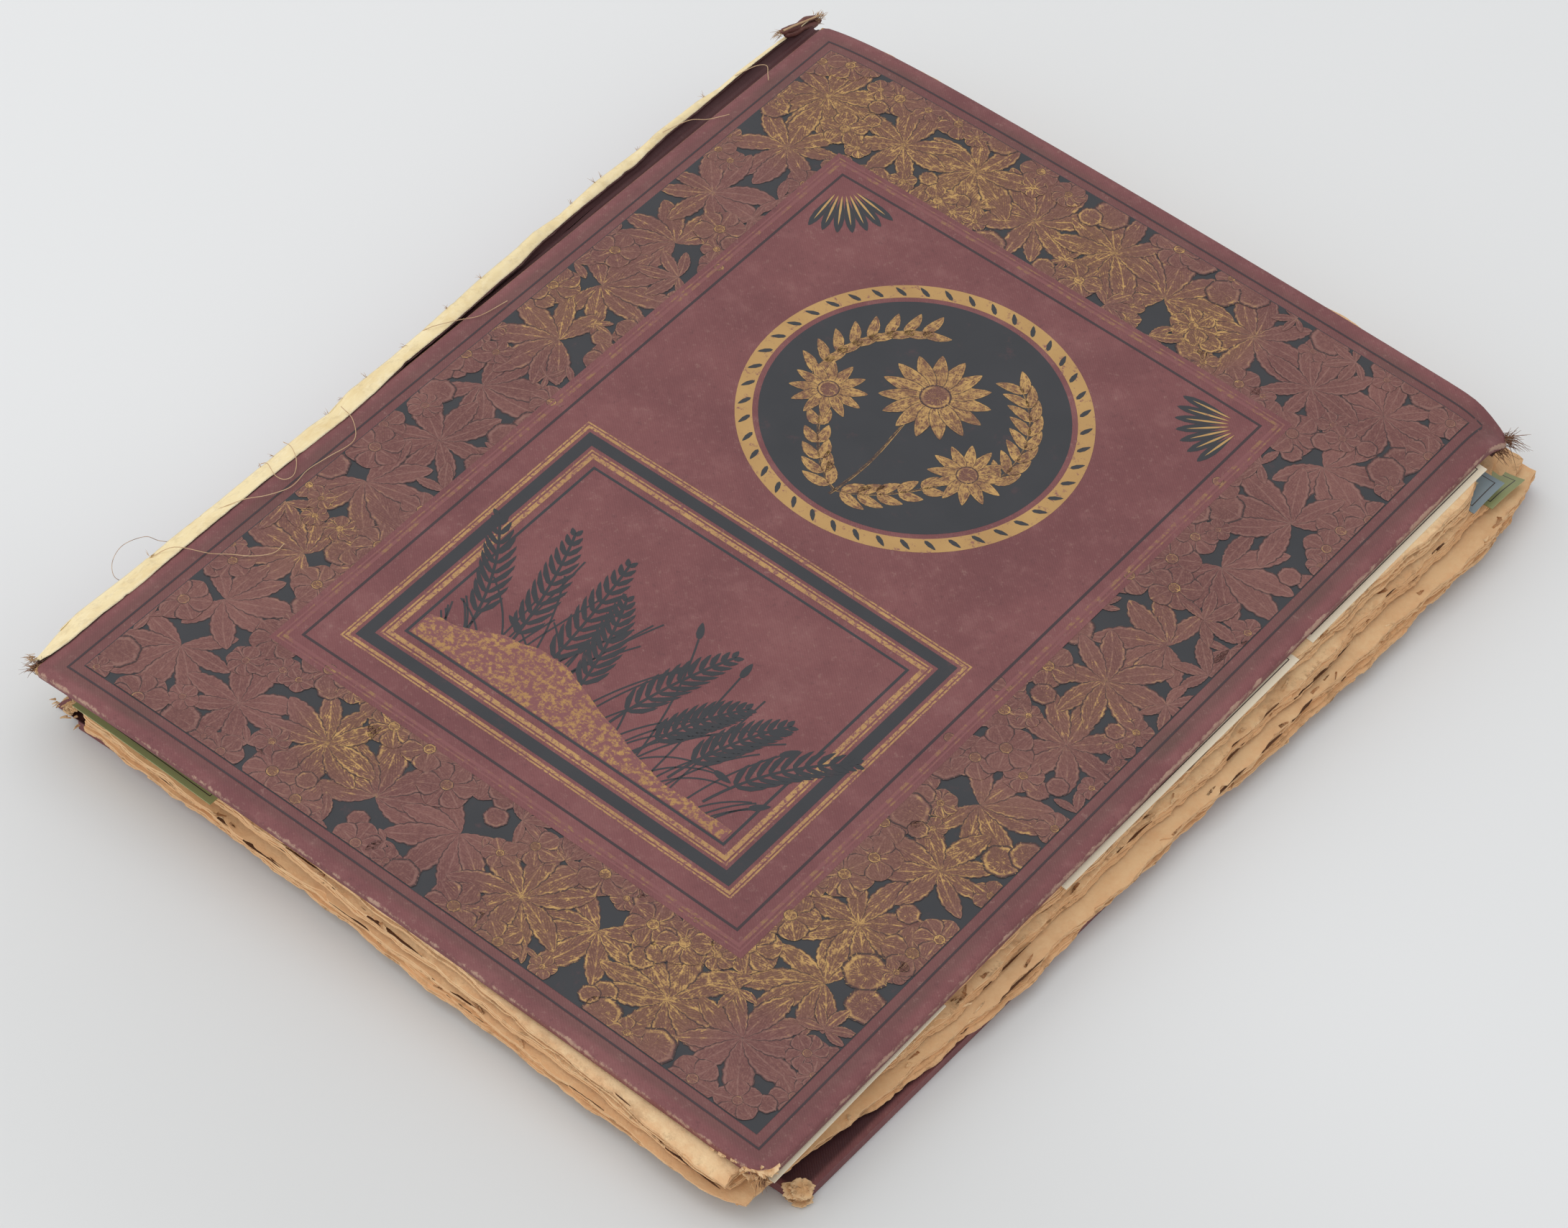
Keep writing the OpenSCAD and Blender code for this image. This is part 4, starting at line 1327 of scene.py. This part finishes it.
def tube(skin, path, radius, tone, sides=5):
    """A round thread along a path in the source's millimetres; radius may be one per point."""
    points = [Vector(p) for p in path]
    last = len(points) - 1
    sizes = radius if isinstance(radius, list) else [radius] * len(points)

    def make(i, j):
        ahead = (points[min(i + 1, last)] - points[max(i - 1, 0)]).normalized()
        side = ahead.cross(Vector((0.31, 0.2, 0.93))).normalized()
        lift = side.cross(ahead)
        angle = FULL_TURN * j / sides
        return tuple(points[i] + (side * cos(angle) + lift * sin(angle)) * sizes[i]), tone, (i, j)

    skin.grid(len(points), sides + 1, make)


def smooth_path(points, steps=6):
    """A curve through the given points."""
    points = [Vector(p) for p in points]
    padded = [points[0] * 2 - points[1]] + points + [points[-1] * 2 - points[-2]]
    path = []
    for a, b, c, d in zip(padded, padded[1:], padded[2:], padded[3:]):
        for n in range(steps):
            t = n / steps
            curve = 2 * b + (c - a) * t + (2 * a - 5 * b + 4 * c - d) * t * t
            path.append(0.5 * (curve + (3 * b - a - 3 * c + d) * t ** 3))
    return path + [points[-1]]


def any_way(rng, size):
    return Vector([rng.uniform(-size, size) for _ in range(3)])


def tuft(skin, rng, centre, direction, count, length, spread, size=0.13, drop=0.25):
    """Frayed threads that leave one place."""
    heading = Vector(direction).normalized()
    for _ in range(count):
        start = Vector(centre) + any_way(rng, spread)
        way = (heading + any_way(rng, 0.75)).normalized()
        curl = any_way(rng, 0.5)
        reach = length * rng.uniform(0.4, 1.1)
        path = []
        for t in [n / 5 for n in range(6)]:
            sag = Vector((0, 0, drop)) * reach * t * t
            path.append(start + way * reach * t + curl * reach * 0.5 * t * t - sag)
        sizes = [size * (1 - 0.8 * n / 5) for n in range(6)]
        tube(skin, path, sizes, (rng.random(), 0.3, rng.uniform(0, 0.9)), 4)


def shade_pebble(skin, rng, centre, size, squash, tone, rows=16, columns=23):
    """A closed rough pebble, dark as painted shade in the hollow under a corner."""
    seed = rng.uniform(0, 50)

    def make(i, j):
        a = pi * i / (rows - 1)
        b = FULL_TURN * j / (columns - 1)
        way = Vector((sin(a) * cos(b), sin(a) * sin(b), cos(a)))
        wave = noise.noise(way * 1.6 + Vector((seed, 0, 0)))
        crumb = noise.noise(way * 5 + Vector((0, seed, 0)))
        layer = rough(way.x * 1.5, way.y * 1.5, way.z * 9 + seed)
        r = size * (0.78 + 0.4 * wave + 0.26 * crumb + 0.2 * layer)
        point = Vector(centre) + Vector([w * r * s for w, s in zip(way, squash)])
        return tuple(point), (clamp(tone[0] + 0.8 * crumb), tone[1], clamp(tone[2] - layer)), (a, b)

    skin.grid(rows, columns, make)


def flake(skin, rng, centre, radius, z, thickness):
    """A thin jagged layer of torn board or paper, a little tilted."""
    seed = rng.uniform(0, 60)
    stretch = rng.uniform(0.7, 1.0)
    turn = rng.uniform(0, 3)
    tilt = Vector((rng.uniform(-0.12, 0.12), rng.uniform(-0.12, 0.12)))
    shade = rng.random()
    outline = []
    for n in range(44):
        a = FULL_TURN * n / 44
        r = radius * (0.8 + 0.28 * rough(cos(a) * 1.5, sin(a) * 1.5, seed) + rng.uniform(-0.09, 0.09))
        outline.append(turned(centre, r * cos(a), r * stretch * sin(a), turn))
    inner = [((x + centre[0]) / 2, (y + centre[1]) / 2) for x, y in outline[::3]]

    def height(x, y):
        low = z + tilt.x * (x - centre[0]) + tilt.y * (y - centre[1]) + 0.25 * rough(x / 2, y / 2, seed)
        return low, low + thickness

    def tone(x, y, rim):
        dirt = rough(x / 1.5, y / 1.5, seed + 9) + 0.3
        return (clamp(shade + 0.4 * rough(x, y, seed)), rim, clamp(dirt)), (x, y)

    draped_slab(skin, outline, inner, height, tone)


def shred(skin, rng, root, along, length, width, lift, tone=None, droop=0.4):
    """A torn shred of paper: a thin closed strip that narrows and curls."""
    tone = tone or (rng.random(), 1, rng.random())
    heading = Vector(along).normalized()
    flat = Vector((-heading.y, heading.x, 0))
    if flat.length < 0.1:
        flat = Vector((0, 1, 0))
    flat.normalize()
    bend = rng.uniform(-0.5, 0.5)
    curl = rng.uniform(-0.6, 0.6)
    rows, columns = 9, 4

    def face(under):
        def make(i, j):
            t = i / (rows - 1)
            s = 2 * j / (columns - 1) - 1
            half = 0.5 * width * (1 - t) ** 0.45 * (0.85 + 0.5 * rough(t * 6, length, s))
            p = Vector(root) + heading * length * t + flat * (half * s + bend * width * t * t)
            p.z += lift * sin(1.6 * t) + curl * width * 0.3 * s * t - droop * length * t * t * 0.3 - under
            return tuple(p), tone, (t * length, s)
        return make

    skin.doubled(rows, columns, face, 0.16)


def ragged_corner(skin, rng, count, turns, spans, rise, lengths, widths, lift):
    """Shreds that stick out of a corner; each pair holds the ends of a random measure."""
    for _ in range(count):
        a = rng.uniform(*turns)
        root = [rng.uniform(*span) for span in spans]
        way = (cos(a), sin(a), rng.uniform(*rise))
        shred(skin, rng, root, way, rng.uniform(*lengths), rng.uniform(*widths), lift)


# Places of the worn corners, and heights of the cover there.
SPINE_TAIL_Z = cover_top(2, -9)
FORE_TAIL_Z = cover_top(243, -8)
FORE_HEAD_Z = cover_top(243.6, 318.6)


def worn_corners(rng):
    """Frayed threads and torn board at the corners of both covers."""
    threads = Skin()
    tuft(threads, rng, (1.4, -8.8, SPINE_TAIL_Z - 1.2), (-0.6, -0.5, 0.3), 30, 3.4, 0.9)
    tuft(threads, rng, (1.0, -7.0, SPINE_TAIL_Z - 1.5), (-0.9, 0.3, 0.5), 20, 3.6, 1.0)
    tuft(threads, rng, (243.2, 318.8, FORE_HEAD_Z - 1.2), (0.85, 0.5, 0.25), 60, 6.5, 1.7, 0.17)
    tuft(threads, rng, (244.4, 315.0, FORE_HEAD_Z - 1.8), (0.95, 0.1, 0.1), 34, 4.5, 1.6, 0.16)
    tuft(threads, rng, (243.8, -8.6, cover_top(243, -7) - 1.8), (0.5, -0.7, -0.1), 26, 3.0, 1.2)
    threads.build("cover_frayed_corners", "front_cover", brown_fibre)

    pulp = Skin()
    low = FORE_TAIL_Z
    for share in [n / 8 for n in range(9)]:
        centre = (241.2 + rng.uniform(-1.5, 1.2) - 1.0 * share, -5.6 + rng.uniform(-1.2, 1.0))
        radius = rng.uniform(3.8, 5.6)
        flake(pulp, rng, centre, radius, low - 0.5 - 2.6 * share, 0.34)
    for n in range(3):
        radius = rng.uniform(1.4, 2.2)
        flake(pulp, rng, (236 - 3.4 * n, -8.6), radius, low - 0.9 - 0.5 * n, 0.5)
    flake(pulp, rng, (2.6, -8.2), 1.9, SPINE_TAIL_Z - 1.4, 0.6)
    spans = ((238.6, 243.6), (-9.2, -5.2), (low - 0.4, low - 3.0))
    ragged_corner(pulp, rng, 26, (-2.8, 0.8), spans, (-0.3, 0.3), (2.0, 4.0), (0.6, 1.5), 0.6)
    tuft(pulp, rng, (243.0, -8.6, low - 1.6), (0.5, -0.7, 0.0), 40, 2.6, 2.0, 0.11)
    pulp.build("cover_corner_pulp", "front_cover", torn_paper, smooth=False)

    # A dark pebble fills the hollow under the fore-edge head corner as painted shade.
    hollow = Skin()
    shade_pebble(hollow, rng, (240.8, 316.6, FORE_HEAD_Z - 4.0), 2.8, (1, 1.4, 0.8), (0.1, 0, 0.2))
    hollow.build("cover_corner_painted_shade", "front_cover", painted_shade_cloth)

    back = Skin()
    for n in range(8):
        centre = (247.6 + rng.uniform(-1.2, 1.2), 2.4 + rng.uniform(-1.2, 1.2))
        radius = rng.uniform(2.8, 4.2)
        flake(back, rng, centre, radius, 0.3 + 0.42 * n, 0.34)
    spans = ((246.4, 249.4), (0.2, 3.2), (0.8, 3.4))
    ragged_corner(back, rng, 18, (-2.4, 0.6), spans, (-0.2, 0.5), (1.5, 2.8), (0.6, 1.2), 0.5)
    tuft(back, rng, (248.2, 1.6, 3.0), (0.2, -0.3, 0.7), 40, 1.8, 2.0, 0.11, 0.1)
    back.build("back_corner_pulp", "back_cover", torn_paper, smooth=False)


def tail_knot(rng):
    """Torn paper that sticks out of the block at the tail of the spine."""
    knot = Skin()
    for n in range(6):
        radius = rng.uniform(1.6, 2.3)
        flake(knot, rng, (1.6 + 0.8 * n, 0.9 - 0.3 * n), radius, 3.2 + 1.1 * n, 0.5)
    for _ in range(20):
        root = (1 + rng.uniform(-1, 8), 0.6 + rng.uniform(-3.0, 0.5), rng.uniform(3.2, 13))
        way = (rng.uniform(-0.8, 0.5), -1, rng.uniform(-0.3, 0.3))
        shred(knot, rng, root, way, rng.uniform(1.2, 2.2), rng.uniform(0.5, 1.2), 0.3)
    knot.build("tail_torn_knot", "text_block", torn_paper, smooth=False)


# Rolls of torn cloth at the head of the spine: shift in x and z, radius, and how much shorter each is.
ROLLS = ((0, 0, 1.15, 0), (-0.9, -1.2, 1.0, 2), (0.8, -1.5, 1.0, 1), (0.1, -2.6, 1.1, 4))
ROLL_Y = (308.2, 325.6)


def spine_ends(rng):
    """The roll of torn cloth at the head of the spine and the frayed ends of its lining."""
    roll = Skin()
    for n, (dx, dz, radius, short) in enumerate(ROLLS):
        path = []
        for t in range(7):
            y = ROLL_Y[0] + short + (ROLL_Y[1] - short * 0.5 - ROLL_Y[0]) * t / 6
            z = 38.3 - 4.6 * t / 6 + 0.4 * sin(1.7 * t + n)
            path.append((-4.9 + dx + 0.25 * sin(1.1 * t + 2 * n), y, z + dz))
        path = smooth_path(path, 5)
        sizes = []
        for m in range(len(path)):
            end = clamp(min(m + 1, len(path) - m) / 3, 0.2, 1)
            sizes.append(radius * (0.85 + 0.3 * rough(m / 4, n, 2.5)) * end)
        tube(roll, path, sizes, (0.45, 0.2, 0.25), 11)
    roll.build("spine_head_roll", "spine_flap", roll_cloth)

    ends = Skin()
    path = smooth_path([(-4.4, 308.6, 39.2), (-4.0, 314, 38.2), (-4.0, 320, 36.4), (-4.2, 325.4, 34.6)], 6)
    tube(ends, path, 0.32, (0.9, 0.2, 0.0), 6)
    tuft(ends, rng, (-4.6, 325.4, 33.6), (0.3, 0.9, 0.3), 40, 3.0, 1.3)
    tuft(ends, rng, (-5.2, 308.6, 38.0), (-0.5, -0.8, 0.1), 26, 2.6, 1.0)
    tuft(ends, rng, (-4.8, -3.4, 21.4), (-0.5, -0.7, 0.3), 14, 2.2, 0.8)
    tuft(ends, rng, (-1.8, -6.4, 26.6), (-0.6, -0.6, 0.5), 20, 3.0, 1.0)
    for _ in range(14):
        outer = strip_edges(rng.uniform(10, 300))[1]
        tuft(ends, rng, outer, (-0.5, rng.uniform(-1, 1), 0.5), 5, 2.2, 0.3, 0.09)
    ends.build("spine_frayed_ends", "spine_flap", fibre_stock)


# Loose threads, as points (x, y, z) from the strip over the cover; the first stands off the spine.
THREADS = (
    (
        (-5.2, 49, 25.0), (-6.4, 45.5, 27.6), (-9.4, 43.5, 28.6), (-12.0, 38, 28.0), (-10.6, 32.5, 27.4),
        (-7.6, 29.5, 26.0), (-5.3, 30.5, 24.0),
    ), (
        (-4.8, 84.0, 28.6), (-1.6, 83.2, 31.2), (3.0, 81.2, 31.3), (6.2, 81.6, 31.5), (6.8, 84.6, 31.6),
        (3.6, 89.0, 31.6), (-1.0, 92.0, 31.4), (-4.9, 93.0, 30.0),
    ), (
        (-4.8, 60.0, 26.6), (2.3, 68.6, 30.9), (6.4, 74.0, 31.3), (9.4, 80.5, 31.6), (8.6, 88.0, 31.8),
        (9.6, 95.0, 32.1), (10.9, 104.0, 32.5), (5.1, 110.0, 32.3), (-1.0, 112.0, 32.0),
    ), (
        (-4.8, 40.0, 26.0), (0.5, 44.5, 30.4), (9.2, 48.5, 30.8), (14.0, 51.8, 31.0), (19.0, 55.0, 31.2),
        (22.5, 59.4, 31.3), (22.4, 63.7, 31.4),
    ),
    ((-4.8, 287.0, 35.6), (-1.8, 292.5, 37.4), (0.6, 294.8, 37.5), (3.2, 292.2, 37.4), (5.2, 290.0, 37.5)),
    ((-4.9, 254.0, 35.4), (-1.4, 261.5, 37.0), (2.0, 266.0, 36.4), (6.0, 271.0, 37.3)),
    ((-4.9, 150.0, 31.0), (-2.0, 152.0, 33.2), (1.6, 158.5, 33.1), (5.0, 163.0, 33.6), (7.0, 172.0, 34.0)),
)
# Threads part here: what lies further in rides on the cover.
THREAD_SPLIT = 2.2


def loose_threads():
    hair = Skin()
    laid = Skin()
    for n, points in enumerate(THREADS):
        radius, tone = (0.11, (0.7, 0.6, 0.0)) if n else (0.08, (0.1, 0.6, 0.8))
        path = smooth_path(points)
        start = 0
        for i in range(1, len(path) + 1):
            on_top = path[start].x > THREAD_SPLIT
            if i == len(path) or (path[i].x > THREAD_SPLIT) != on_top:
                run = path[start:i + 1]
                if len(run) > 1:
                    tube(laid if on_top else hair, run, radius, tone)
                start = i
    hair.build("loose_threads", "spine_flap", fibre_stock)
    laid.build("cover_threads", "front_cover", fibre_stock)


# Leaves with crumbs and painted crack shadow along their open edges.
TORN_LEAVES = (2, 4, 6, 7, 9)
MOST_TORN = (4, 7)


def torn_scraps():
    """Crumbs, some dark with dirt, and thin strips of painted crack shadow along the open edges of the block.
    """
    rng = random.Random(17)
    for k in TORN_LEAVES:
        skin = Skin()
        share = sheet_share((LEAVES - k) * 2 + 1)
        for n in range(26 if k in MOST_TORN else 14):
            if n % 3:
                y = rng.uniform(8, 306)
                x = fore_edge(k, y) - rng.uniform(0.3, 2.2)
                way = (rng.uniform(-0.2, 0.6), rng.choice((-1, 1)), 0)
            else:
                x = rng.uniform(14, 238)
                y = tail_edge(k, x) + rng.uniform(0.3, 1.6)
                way = (rng.choice((-1, 1)), rng.uniform(-0.6, 0.2), 0)
            root = (x, y, level(share + SHEET_ABOVE, x, y) + 0.05)
            tone = (0.0, 0.3, 1.0) if rng.random() < 0.6 else (rng.random(), 1, rng.random())
            length = rng.uniform(1.5, 5)
            shred(skin, rng, root, way, length, rng.uniform(0.5, 1.6), rng.uniform(0.1, 0.5), tone, 0.1)
        skin.build(f"leaf_{k:02}_scraps", f"leaf_{k:02}", torn_paper, smooth=False)
        # Thin dark strips at the sheets' open edges: painted shadow in the crack between sheets.
        crack_shadow_strips = Skin()
        for n in range(11):
            if n % 2:
                y = rng.uniform(16, 300)
                x = fore_edge(k, y) - 0.2
                way = (0.024, 1, 0)
            else:
                x = rng.uniform(16, 226)
                y = tail_edge(k, x) + 0.2
                way = (1, -0.057, 0)
            root = (x, y, level(share + SHEET_ABOVE * rng.uniform(0.2, 0.9), x, y))
            size = (rng.uniform(8, 22), rng.uniform(0.7, 1.3))
            shred(crack_shadow_strips, rng, root, way, *size, 0.05, (rng.random(), 0.3, 0.5), 0.0)
        crack_shadow_strips.build(f"leaf_{k:02}_cracks", f"leaf_{k:02}", crack_shadow, smooth=False)


def dress_nodes():
    """Materials of the CAD nodes: the first part of a name that fits decides."""
    looks = (
        ("board", board_paper), ("back_cloth", back_cover_cloth), ("cloth", cloth), ("liner", liner_paper),
        ("lining", liner_paper), ("guards", linen_paper), ("sewing", linen_paper), ("gauze", linen_paper),
        ("pastedown", dark_paper), ("endpaper", dark_paper), ("", leaf_paper),
    )
    for name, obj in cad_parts.items():
        obj.data.materials.clear()
        obj.data.materials.append(next(look for part, look in looks if part in name))


aim_camera()
studio()
dress_nodes()
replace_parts(cover_cloth(), "front_cloth")
cover_print()
cover_centre()
album_leaves()
album_cards()
spine_strip()
joint_fold()
wear_draws = random.Random(3)
worn_corners(wear_draws)
tail_knot(wear_draws)
spine_ends(wear_draws)
loose_threads()
torn_scraps()
